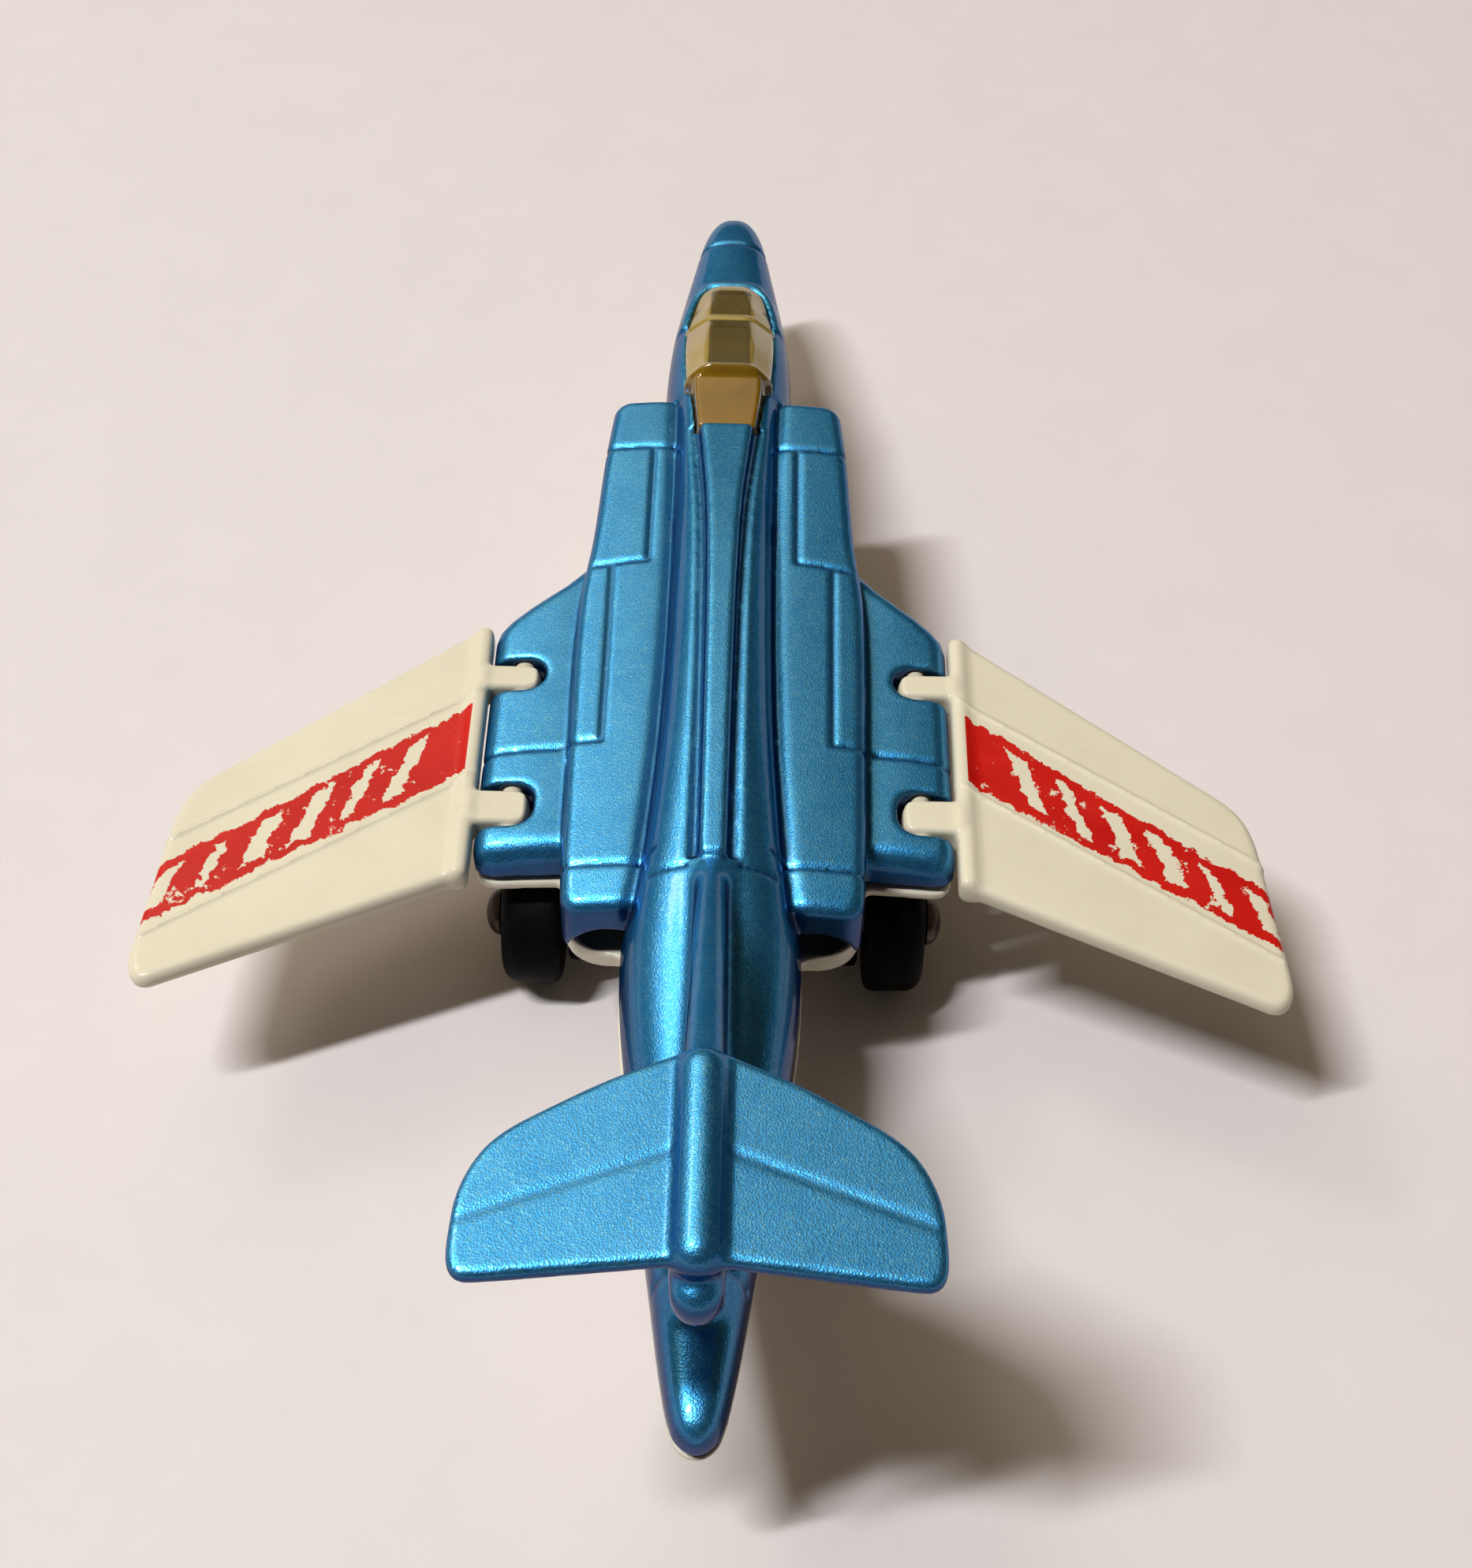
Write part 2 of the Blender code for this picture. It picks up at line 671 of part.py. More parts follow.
def rod_saddles(side):
    """Ribs that stand in the groove of a block and carry the wing's hinge rod."""
    (_, _, _, first_rear), (second_front, _, _, second_rear) = SLOTS
    half = ROD_RADIUS - 0.1
    low_x, high_x = sorted((side * (HINGE_X - half), side * (HINGE_X + half)))
    for front, rear in ((first_rear - 0.5, second_front + 0.5), (second_rear - 0.3, ROD_ENDS_Y[1])):
        yield box("saddle", (low_x, rear, BASE_TOP - 0.3), (high_x, front, HINGE_Z - ROD_RADIUS - GAP))


def nose_leg(side):
    low_x, high_x = sorted((side * NOSE_LEG_X[0], side * NOSE_LEG_X[1]))
    low_y, high_y = NOSE_WHEEL_Y - NOSE_LEG_HALF_LENGTH, NOSE_WHEEL_Y + NOSE_LEG_HALF_LENGTH
    leg = box("nose_leg", (low_x, low_y, NOSE_WHEEL_RADIUS - 1.4), (high_x, high_y, 7.6))
    soften(leg, 0.3, 2)
    return leg


def base_cores():
    """Hollows in the base, open upwards, under those of the casting and under the jet pipes."""
    high = BASE_TOP + CUTTER_OVERRUN
    front, rear = TRAY_ENDS_Y
    yield box("tray", (-CORE_HALF_WIDTH, rear, BASE_FLOOR), (CORE_HALF_WIDTH, front, high))
    rear_rows = [(y, outer) for y, outer, _ in BASE_POD if y < POD_REAR_Y]
    for side in SIDES.values():
        outline = [(POD_INNER_X, POD_FRONT_Y), (POD_OUTER_X, POD_FRONT_Y), (POD_OUTER_X, POD_REAR_Y)]
        outline += [(outer - 1.4 * BASE_POD_WALL, y + BASE_POD_WALL) for y, outer in rear_rows]
        outline += [(POD_INNER_X, rear_rows[-1][0] + BASE_POD_WALL)]
        yield prism("pod_tray", mirrored(outline, side), POD_FLOOR, high + SIDE_STAGGER * side)


def make_base(material):
    base = fuselage_half(upper=False)
    for side in SIDES.values():
        add(base, base_pod(side))
        add(base, root_plate(side))
    half, rear, front, bottom = BELLY_PAD
    add(base, box("belly_pad", (-half, rear, bottom), (half, front, BASE_FLOOR - 0.3)))
    for side in SIDES.values():
        add(base, nose_leg(side))
    bore = NOSE_AXLE_RADIUS + GAP
    cut(base, rod("nose_axle_bore", "X", (NOSE_WHEEL_Y, NOSE_WHEEL_RADIUS), bore, -5.0, 5.0))
    cut(base, *base_cores())
    cut(base, box("split", (-40.0, -60.0, BASE_TOP), (40.0, 60.0, 40.0)))
    for side in SIDES.values():
        add(base, *rod_saddles(side))
    for y in RIVETS.values():
        add(base, rod("boss", "Z", (0.0, y), POST_RADIUS, BASE_FLOOR - 0.5, BASE_TOP))
        cut(base, rod("rivet_hole", "Z", (0.0, y), RIVET_SHANK + GAP, 0.0, 20.0))
    for side in SIDES.values():
        centre = (side * PEG_X, MAIN_AXLE_Y)
        cut(base, rod("peg_hole", "Z", centre, PEG_RADIUS + GAP, 0.0, PEG_TOP + GAP))
    return finish(base, "base", material)


def make_wing(side, material):
    """Panel, two fingers and the rod between them, moulded in one."""
    tip = max(x for x, _ in WING_OUTLINE)
    root = WING_OUTLINE[0][0]
    rings = []
    for sign in (-1, 1):
        ring = []
        for x, y in WING_OUTLINE:
            share = (x - root) / (tip - root)
            thickness = WING_ROOT_THICKNESS + (WING_TIP_THICKNESS - WING_ROOT_THICKNESS) * share
            middle = HINGE_Z - (x - root) * math.tan(WING_DROOP)
            ring.append((x, y, middle + sign * thickness / 2))
        rings.append(ring)
    wing = loft("wing", rings)
    soften(wing, 0.4, 2, 30.0)
    low_x, high_x, rear, front = ROOT_RIB
    low_z, high_z = HINGE_Z - ROOT_RIB_HALF_HEIGHT, HINGE_Z + ROOT_RIB_HALF_HEIGHT
    rib = box("root_rib", (low_x, rear, low_z), (high_x, front, high_z))
    soften(rib, 0.2, 2)
    add(wing, rib)
    for _, front, rear, _ in SLOTS:
        add(wing, finger(front, rear))
    add(wing, rod("hinge_rod", "Y", (HINGE_X, HINGE_Z), ROD_RADIUS, *ROD_ENDS_Y, sides=ROD_SIDES))
    mirror_to(wing, side)
    move_origin(wing, (side * HINGE_X, sum(ROD_ENDS_Y) / 2, HINGE_Z))
    return finish(wing, side_name(side, "wing"), material)


def finger(front, rear):
    """A finger of the wing: a tab that ends in a rounded eye about the hinge rod."""
    reach = sum(ROOT_RIB[:2]) / 2
    tab = box("finger", (HINGE_X - 0.05, rear, HINGE_Z - FINGER_HALF_HEIGHT),
              (reach, front, HINGE_Z + FINGER_HALF_HEIGHT))
    rings = []
    for x, y in round_end(HINGE_X - FINGER_RADIUS, front - 0.01, rear + 0.01, FINGER_CORNER - 0.01):
        rings.append(circle(HINGE_X, HINGE_Z, HINGE_X - x, y))
    add(tab, loft("eye", rings))
    return tab


def circle(x, z, radius, y):
    """Points round a centre, in the plane at y."""
    angles = [math.tau * (i + 0.5) / ROD_SIDES for i in range(ROD_SIDES)]
    return [(x + radius * math.cos(a), y, z + radius * math.sin(a)) for a in angles]


def make_main_wheel(side, material):
    inner, outer = WHEEL_X
    bore = AXLE_RADIUS + GAP
    shoulder = corner(outer - WHEEL_SHOULDER, WHEEL_RADIUS - WHEEL_SHOULDER, WHEEL_SHOULDER, 0.0)
    edge = corner(inner + 0.5, WHEEL_RADIUS - 0.5, 0.5, 90.0, 2)
    profile = [(inner, bore), (outer - 0.4, bore), (outer - 0.4, 2.3), (outer, 2.7)] + shoulder + edge
    wheel = turned("wheel", profile, MAIN_AXLE_Y, WHEEL_RADIUS, 40)
    mirror_to(wheel, side)
    move_origin(wheel, (side * (inner + outer) / 2, MAIN_AXLE_Y, WHEEL_RADIUS))
    return finish(wheel, side_name(side, "main_wheel"), material)


def side_name(side, piece):
    return ("left_" if side < 0 else "right_") + piece


def make_main_axle(material):
    """A wire with a domed head at each end, outside the wheels."""
    face = WHEEL_X[1] + 0.1
    dome = [(face + AXLE_HEAD_LENGTH * math.sin(a), AXLE_HEAD_RADIUS * math.cos(a))
            for a in (math.radians(15.0 * i) for i in range(6))]
    tip = face + AXLE_HEAD_LENGTH
    right = [(face, AXLE_RADIUS)] + dome + [(tip, 0.0)]
    profile = [(-x, r) for x, r in reversed(right)] + right
    return finish(turned("main_axle", profile, MAIN_AXLE_Y, WHEEL_RADIUS, 24), "main_axle", material)


def make_main_gear_frame(material):
    """A bar under the belly with a leg at each end that carries the axle, pegged into the base."""
    outer = FRAME_LEG_X[1]
    rear, front = MAIN_AXLE_Y - FRAME_HALF_LENGTH, MAIN_AXLE_Y + FRAME_HALF_LENGTH
    frame = box("frame", (-outer, rear, FRAME_LEG_BOTTOM), (outer, front, FRAME_TOP))
    inner = FRAME_LEG_X[0]
    cut(frame, box("frame_gap", (-inner, rear - 1.0, 0.0), (inner, front + 1.0, FRAME_BAR_BOTTOM)))
    soften(frame, 0.35, 2)
    cut(frame, rod("axle_bore", "X", (MAIN_AXLE_Y, WHEEL_RADIUS), AXLE_RADIUS + GAP, -20.0, 20.0))
    for side in SIDES.values():
        centre = (side * PEG_X, MAIN_AXLE_Y)
        add(frame, rod("peg", "Z", centre, PEG_RADIUS, FRAME_TOP - 0.5, PEG_TOP, sides=16))
    return finish(frame, "main_gear_frame", material)


def make_nose_wheel(material):
    half, bore = NOSE_WHEEL_HALF_WIDTH, NOSE_AXLE_RADIUS + GAP
    edge = corner(half - 0.5, NOSE_WHEEL_RADIUS - 0.5, 0.5, 0.0, 3)
    right = [(half, bore)] + edge
    profile = right + [(-x, r) for x, r in reversed(right)]
    wheel = turned("nose_wheel", profile, NOSE_WHEEL_Y, NOSE_WHEEL_RADIUS)
    move_origin(wheel, (0.0, NOSE_WHEEL_Y, NOSE_WHEEL_RADIUS))
    return finish(wheel, "nose_wheel", material)


def make_nose_axle(material):
    outer = NOSE_LEG_X[1] + 0.1
    head = NOSE_AXLE_RADIUS + 0.35
    right = [(outer + GAP, NOSE_AXLE_RADIUS), (outer + GAP, head), (outer + 0.6, head)]
    right += [(outer + 0.8, 0.55), (outer + 0.8, 0.0)]
    profile = [(-x, r) for x, r in reversed(right)] + right
    return finish(turned("nose_axle", profile, NOSE_WHEEL_Y, NOSE_WHEEL_RADIUS, 20), "nose_axle", material)


def make_rivet(name, y, material):
    """A headed pin from under the base up into a post of the casting."""
    _, _, belly = along(FUSELAGE, y)
    head_top = belly - GAP
    rivet = rod(name, "Z", (0.0, y), RIVET_HEAD, head_top - 0.7, head_top)
    soften(rivet, 0.25, 2)
    add(rivet, rod("shank", "Z", (0.0, y), RIVET_SHANK, head_top - 0.3, RIVET_TOP, sides=16))
    return finish(rivet, name, material)


def main():
    clear_scene()
    blue = plastic_or_metal("candy_blue", (0.03, 0.28, 0.55), 0.25, metallic=0.8)
    cream = plastic_or_metal("cream_plastic", (0.78, 0.72, 0.66), 0.45)
    amber = plastic_or_metal("amber_clear", (0.85, 0.55, 0.05), 0.1, transmission=0.7)
    black = plastic_or_metal("black_plastic", (0.01, 0.01, 0.01), 0.5)
    steel = plastic_or_metal("axle_steel", (0.30, 0.25, 0.20), 0.35, metallic=1.0)
    make_upper_body(blue)
    make_base(cream)
    make_canopy(amber)
    for side in SIDES.values():
        make_wing(side, cream)
        make_main_wheel(side, black)
    make_main_gear_frame(black)
    make_main_axle(steel)
    make_nose_wheel(black)
    make_nose_axle(steel)
    for name, y in RIVETS.items():
        make_rivet(name, y, steel)


main()
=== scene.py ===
"""Looks of a folding-wing toy jet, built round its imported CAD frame.

Shapes are made as fields of signed distance in millimetres, negative inside, and skinned into meshes.
The nose points along +Y, the right wing along +X, and the wheels stand on z = 0.
"""

import math

import bmesh
import bpy
import numpy as np
import openvdb
from mathutils import Matrix, Vector


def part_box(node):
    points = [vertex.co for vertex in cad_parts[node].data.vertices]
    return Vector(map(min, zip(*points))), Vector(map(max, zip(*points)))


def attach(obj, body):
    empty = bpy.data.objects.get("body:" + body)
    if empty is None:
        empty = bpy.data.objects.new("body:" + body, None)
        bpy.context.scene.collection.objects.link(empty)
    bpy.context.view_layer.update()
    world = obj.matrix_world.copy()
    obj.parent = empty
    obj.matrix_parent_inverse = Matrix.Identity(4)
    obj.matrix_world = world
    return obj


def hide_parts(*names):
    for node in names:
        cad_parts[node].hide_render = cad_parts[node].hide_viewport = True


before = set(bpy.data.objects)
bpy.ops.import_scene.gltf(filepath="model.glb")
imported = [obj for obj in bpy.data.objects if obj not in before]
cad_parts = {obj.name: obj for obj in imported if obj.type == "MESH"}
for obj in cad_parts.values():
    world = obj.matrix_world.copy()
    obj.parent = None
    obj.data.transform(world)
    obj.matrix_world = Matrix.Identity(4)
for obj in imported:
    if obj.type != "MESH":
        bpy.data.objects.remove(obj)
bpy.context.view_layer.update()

MM = 0.001
SIDES = {"left": -1, "right": 1}
PITCH = 0.15
FINE_PITCH = 0.1
WING_PITCH = FINE_PITCH * 1.3

# Beyond any part of the toy, and too far from a line to mark it.
OUTSIDE = 60.0
FAR = 9.0

# Where the die-cast upper body ends and the plastic base begins.
CAST_BOTTOM = 10.2
BASE_TOP = 9.9

# Fuselage, nose to tail: (y, half width at the split, top height, belly height).
FUSELAGE = [
    (47.5, 0.50, 11.0, 9.4),
    (46.8, 1.25, 11.6, 9.0),
    (45.3, 1.90, 12.2, 8.5),
    (43.0, 2.40, 12.8, 7.9),
    (40.0, 2.85, 13.4, 7.5),
    (36.5, 3.35, 14.1, 7.1),
    (31.5, 3.95, 15.1, 6.7),
    (26.0, 4.20, 15.9, 6.4),
    (17.0, 4.00, 16.9, 6.4),
    (6.0, 3.75, 17.8, 6.4),
    (-5.0, 3.90, 17.9, 6.4),
    (-13.0, 4.45, 17.5, 6.4),
    (-19.0, 5.00, 17.0, 6.4),
    (-24.0, 4.85, 16.3, 6.7),
    (-31.0, 3.90, 15.2, 7.5),
    (-38.7, 2.65, 13.9, 8.4),
    (-44.0, 1.80, 12.9, 9.0),
    (-46.4, 1.20, 12.4, 9.2),
    (-47.3, 0.50, 11.7, 9.5),
]
BOXINESS = 2.7

# Ridge on the fuselage top: (y, half width, rise above the top).
SPINE = [(18.6, 1.7, 0.5), (15.0, 1.4, 0.55), (10.7, 1.1, 0.6), (4.0, 0.9, 0.6), (-5.0, 0.8, 0.6),
         (-16.5, 0.75, 0.6)]
GROOVE_OFFSET = 0.3

# Engine nacelles: (y, outer half width, top height).
NACELLE = [(23.4, 7.3, 14.9), (18.7, 7.7, 15.0), (11.0, 8.1, 15.0), (5.0, 8.65, 15.0), (-6.0, 8.6, 15.0),
           (-14.8, 8.45, 14.9), (-17.9, 8.3, 14.65)]
# The base's pods below them: (y, outer half width, belly height).
BASE_POD = [(23.2, 7.3, 6.8), (18.7, 7.7, 6.6), (8.0, 8.2, 6.6), (-4.5, 8.5, 6.6), (-14.0, 8.6, 6.7),
            (-16.0, 8.25, 7.2), (-17.3, 7.4, 7.9), (-18.1, 5.6, 8.8)]

# Jet pipe: (x, z, radius). Intake: its x span, top, bottom and inner end.
NOZZLE = (5.7, 10.0, 2.2)
NOZZLE_FRONT_Y = -11.0
INTAKE_X = (4.6, 6.4)
INTAKE_TOP = 14.0
INTAKE_BOTTOM = 7.5
INTAKE_END_Y = 21.4

# Cavities under the spine and in the nacelles, and the thickness of the roofs over them.
CORE_HALF_WIDTH = 2.3
CORE_Y = (-33.0, 36.5)
CORE_ROOF = 1.7
CORE_WALL = 1.3
POD_CORE_X = (3.5, 6.8)
POD_CORE_Y = (-11.5, 19.5)
POD_CORE_TOP = 13.7
COCKPIT_FLOOR = ((-3.2, 24.3, 12.2), (3.2, 32.0, 13.1))

# Base: the tray inside it, the belly pad, a cheek of the nose leg (its x, y and z spans), and the saddles
# that the hinge rod rests in.
TRAY_Y = (-25.0, 18.0)
TRAY_BOTTOM = 7.7
POD_FLOOR = 1.1
BELLY_PAD = ((-3.2, -6.0, 6.1), (3.2, 9.0, 7.5))
LEG = ((1.25, 2.15), (29.5, 32.5), (1.05, 8.0))
SADDLES_Y = ((-7.05, -0.7), (-11.6, -10.9))
RIVETS_Y = (12.5, -24.0)
RIVET_BOSS = 1.7
RIVET_BORE = 1.1

# Axles: (y, z). The gear frame's two posts stand in holes above the main one.
MAIN_AXLE = (-10.7, 4.15)
MAIN_AXLE_END = 12.5
MAIN_AXLE_RADIUS = 0.6
AXLE_HEAD_RADIUS = 1.38
NOSE_AXLE = (31.0, 2.4)
NOSE_AXLE_BORE = 0.8
POST_X = 5.0
POST_BORE = 1.2

# Main wheels: the x span of a tyre, its bore and the radius of its tread.
TYRE_X = (8.9, 12.35)
TYRE_BORE = 0.9
TREAD_RADIUS = 4.13

# Wing-root block in plan, and the fold hinge: its rod (x, z) and, in each row of SLOTS, the slot's rear, the
# finger's rear, the finger's front and the slot's front.
BLOCK_OUTLINE = [(5.0, 14.5), (7.3, 13.2), (7.95, 11.6), (8.7, 10.1), (9.8, 8.8), (11.95, 6.85), (13.0, 5.8),
                 (13.55, 5.0), (13.73, 4.2), (13.73, -11.8), (13.6, -12.4), (13.2, -12.8), (12.5, -12.9),
                 (7.8, -12.6), (5.0, -12.6)]
BLOCK_TOP = 12.6
HINGE = (11.8, 11.3)
ROD_RADIUS = 0.6
ROD_Y = (-11.6, 3.3)
FINGER_REACH = 1.14
EYE_RADIUS = 1.2
SLOTS = [(-0.2, 0.1, 1.9, 2.25), (-10.6, -10.25, -7.9, -7.55)]
SLOT_END_GAP = 0.17
SLOT_RADIUS = 1.2
CHANNEL_GAP = 0.15
CHANNEL_END_GAP = 0.3

# Wing in plan, its slope down to the tip, and its raised lines.
WING_OUTLINE = [(14.15, 4.7), (14.4, 5.05), (14.8, 5.0), (29.5, -6.1), (30.3, -6.85), (30.9, -7.9),
                (31.25, -9.3), (31.4, -10.6), (32.15, -18.8), (32.1, -19.8), (31.7, -20.6), (31.0, -20.85),
                (14.15, -13.9)]
WING_DROOP = math.tan(math.radians(4.0))
WING_HALF_THICKNESS = 0.7
ROOT_X = 14.1
ROOT_RIB_X = (13.98, 14.6)
ROOT_RIB_Y = (-13.9, 4.85)
ROOT_RIB_HALF_HEIGHT = 0.82
WING_RIDGES = [[(13.9, 0.1), (31.4, -11.1)], [(13.9, -6.5), (31.8, -17.8)]]

# Fin from the side, and the right half of the stabiliser in plan.
FIN_OUTLINE = [(-15.5, 16.0), (-17.2, 17.6), (-34.8, 25.9), (-36.0, 26.6), (-46.0, 26.6), (-46.2, 24.6),
               (-45.2, 23.4), (-41.2, 12.5), (-38.0, 12.0)]
STABILISER_OUTLINE = [(-1.0, -34.9), (0.0, -34.9), (4.2, -36.7), (7.3, -38.5), (8.7, -39.4), (9.7, -40.4),
                      (10.4, -41.8), (10.75, -43.2), (10.83, -45.4), (10.72, -46.2), (10.4, -46.65),
                      (9.9, -46.85), (0.0, -45.9), (-1.0, -45.9)]
STABILISER_Z = (26.1, 27.05)
STABILISER_DROOP = 0.04
ELEVATOR_LINE = [(1.2, -40.55), (10.4, -43.95)]

# Fin: its half width, the line of its rudder from the side, and the two round bars along its top: the cap,
# and the bullet that hangs behind and below it.
FIN_HALF_WIDTH = 0.8
RUDDER_LINE = [(-36.5, 25.0), (-39.5, 12.0)]
CAP_Y = (-45.3, -36.4)
CAP_Z = 26.68
CAP_RADIUS = 1.2
BULLET_Y = (-46.2, -43.0)
BULLET_Z = 24.6

# The ring line round the nose, and the creases, in plan, where the nacelles meet the fuselage's sides.
NOSE_LINE_Y = 42.4
NACELLE_FOOT = [(3.3, 22.8), (3.1, 11.0), (3.15, 1.0), (3.45, -7.0), (4.0, -14.8), (4.5, -18.5)]

# Lines engraved in plan, each for both sides: in the casting's top, and in the belly.
PANEL_LINES = [
    [(3.4, 18.65), (8.4, 18.65)],
    [(4.57, 18.65), (4.55, 8.4), (7.75, 8.05), (6.75, 8.1), (6.65, -6.15), (8.45, -6.15)],
    [(9.2, -4.98), (13.9, -5.3)],
    [(3.3, -15.1), (9.0, -15.1)],
    [(1.5, -16.9), (3.3, -16.9)],
]
BELLY_LINES = [
    [(3.6, 21.0), (3.6, 11.0), (0.0, 11.0)],
    [(0.0, 36.5), (2.0, 36.5), (2.6, 24.5), (0.0, 24.5)],
    [(0.0, -19.5), (3.0, -19.5), (2.2, -33.0), (0.0, -33.0)],
    [(9.0, 8.5), (9.0, -12.8)],
]

# Canopy: (y, half width, top height, half width of its flat top).
CANOPY = [
    (35.7, 1.5, 14.45, 1.0),
    (34.9, 2.1, 14.8, 1.15),
    (33.4, 2.5, 15.3, 1.25),
    (31.8, 2.75, 15.75, 1.35),
    (30.2, 2.92, 16.1, 1.4),
    (28.4, 2.93, 16.7, 1.4),
    (26.3, 2.88, 17.3, 1.4),
    (24.0, 2.75, 17.7, 1.35),
    (23.1, 2.65, 17.8, 1.5),
    (22.6, 2.4, 17.35, 2.1),
    (18.4, 2.0, 17.05, 1.8),
]
# Its lower edge, the height its facets fall to, its arches (y, height) and the y spans of its windows.
CANOPY_BOTTOM = 13.6
CANOPY_SILL = 14.15
CANOPY_ARCHES = ((30.2, 0.15), (23.2, 0.22))
CANOPY_WINDOWS = ((23.9, 29.7), (30.8, 34.2))
# The tongues that hold the canopy in the casting: opposite corners and edge radius of each block.
CANOPY_TONGUES = [
    ((-0.7, 34.4, 11.2), (0.7, 36.25, 12.0), 0.1),
    ((-0.65, 34.5, 11.3), (0.65, 35.2, 14.0), 0.05),
    ((-1.3, 17.05, 13.8), (1.3, 19.4, 14.6), 0.1),
]

# The red band printed on each wing, in metres: where its root end and centre line start, how far the line
# falls back and the half width shrinks for each metre outwards, and the clear bars in it.
BAND_ROOT_X = 0.0146
BAND_ROOT_Y = -0.0039
BAND_SLOPE = -0.65
BAND_TAPER = -0.04
BAND_HALF_WIDTH = 0.0026
FIRST_BAR = 0.0022
BAR_SPACING = 0.0026
BAR_END_MARGIN = 0.0007

# Camera: its place, where it points, in degrees, and its focal length as a share of the frame's long side.
CAMERA_PLACE = (1.243, -95.05, 117.0)
CAMERA_DOWN = 50.0
CAMERA_YAW = 0.069
CAMERA_ROLL = -1.337
SENSOR_LONG_SIDE = 36.0
FOCAL_SHARE = 3000.0 / 1988.0

# Floor, in metres.
FLOOR_REACH = 1.1
FLOOR_Z = -0.00003

# Light: the key's direction, distance and size in metres, and its power and colour. The ceiling and the lamp
# in it are glows: a direction, the cosines where the glow starts and is full, and the colours outside and
# inside it.
KEY = ((-0.47, -0.15, 1.0), 0.9, (0.04, 0.27), 7.45, (0.98, 0.985, 1.0))
CEILING = ((-0.38, 0.48, 0.80), 0.74, 0.99, (0.030, 0.023, 0.015, 1.0), (1.2, 0.98, 0.69, 1.0))
LAMP = ((-0.52, 0.46, 0.72), 0.9945, 0.9985, (0.0, 0.0, 0.0, 1.0), (15.0, 14.5, 13.5, 1.0))


# ---------------------------------------------------------------- distance fields


class Grid:
    """Sample points of a box, in millimetres."""

    def __init__(self, low, high, pitch):
        self.pitch = pitch
        self.low = np.array(low, float) - 3 * pitch
        counts = np.ceil((np.array(high, float) + 3 * pitch - self.low) / pitch).astype(int)
        axes = [(self.low[i] + pitch * np.arange(counts[i])).astype(np.float32) for i in range(3)]
        self.x = axes[0][:, None, None]
        self.y = axes[1][None, :, None]
        self.z = axes[2][None, None, :]
        self.shape = tuple(counts)


def grid_round(node, pitch):
    """Sample points of a CAD node's box."""
    low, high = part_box(node)
    return Grid(np.array(low) / MM, np.array(high) / MM, pitch)


def along(rows, y):
    """The other columns of rows, on a smooth curve through them, at each place in the array y."""
    flat = np.clip(np.asarray(y, float).ravel(), rows[-1][0], rows[0][0])
    table = np.array(rows, float)
    after = np.clip(len(rows) - np.searchsorted(table[::-1, 0], flat, side="left"), 1, len(rows) - 1)
    before = after - 1
    ahead, behind = np.maximum(before - 1, 0), np.minimum(after + 1, len(rows) - 1)
    span = table[after, 0] - table[before, 0]
    t = (flat - table[before, 0]) / span
    columns = []
    for column in range(1, table.shape[1]):
        value = table[:, column]
        leave = (value[after] - value[ahead]) / (table[after, 0] - table[ahead, 0]) * span
        arrive = (value[behind] - value[before]) / (table[behind, 0] - table[before, 0]) * span
        curve = (2 * t**3 - 3 * t**2 + 1) * value[before] + (t**3 - 2 * t**2 + t) * leave
        curve += (3 * t**2 - 2 * t**3) * value[after] + (t**3 - t**2) * arrive
        columns.append(curve.reshape(np.shape(y)).astype(np.float32))
    return columns


def join(a, b, fillet=0.0):
    """Both shapes, with a fillet of about this size where they meet."""
    if fillet <= 0:
        return np.minimum(a, b)
    reach = np.maximum(fillet - np.abs(a - b), 0) / fillet
    return np.minimum(a, b) - reach * reach * fillet / 4


def remove(a, b, round_over=0.0):
    """The first shape without the second, with its new edges rounded over."""
    return -join(-a, b, round_over)


def rounded(radius, *sides):
    """The space inside every side, with its edges rounded."""
    sides = [side + radius for side in sides]
    most = sides[0]
    for side in sides[1:]:
        most = np.maximum(most, side)
    square = 0
    for side in sides:
        square = square + np.maximum(side, 0) ** 2
    return np.minimum(most, 0) + np.sqrt(square) - radius


def slab(values, low, high):
    """The space between two planes."""
    return np.maximum(low - values, values - high)


def block(grid, low, high, radius):
    """A box with rounded edges."""
    axes = (grid.x, grid.y, grid.z)
    return rounded(radius, *(slab(axis, low[i], high[i]) for i, axis in enumerate(axes)))


def cylinder(u, v, centre, radius, length):
    """A round bar: its two cross axes, its centre and radius, and the slab that ends it."""
    return np.maximum(np.sqrt((u - centre[0]) ** 2 + (v - centre[1]) ** 2) - radius, length)


def path_distance(points, u, v):
    """Distance from each (u, v) to a line through points."""
    nearest = None
    for (u0, v0), (u1, v1) in zip(points, points[1:]):
        du, dv = u1 - u0, v1 - v0
        share = np.clip(((u - u0) * du + (v - v0) * dv) / (du * du + dv * dv), 0, 1)
        distance = np.sqrt((u - u0 - share * du) ** 2 + (v - v0 - share * dv) ** 2)
        nearest = distance if nearest is None else np.minimum(nearest, distance)
    return nearest


def nearest_line(lines, u, v):
    """Distance from each (u, v) to the nearest of several lines."""
    nearest = path_distance(lines[0], u, v)
    for line in lines[1:]:
        nearest = np.minimum(nearest, path_distance(line, u, v))
    return nearest


def softened(outline, reach, rounds=2):
    """An outline with its corners cut, each time no further along an edge than reach."""
    for _ in range(rounds):
        corners = np.array(outline)
        cuts = []
        for step in (1, -1):
            edge = np.roll(corners, step, axis=0) - corners
            length = np.linalg.norm(edge, axis=1, keepdims=True)
            cuts.append(corners + edge * np.minimum(0.25, reach / length))
        outline = np.stack(cuts, axis=1).reshape(-1, 2)
        reach /= 2
    return [tuple(point) for point in outline.tolist()]


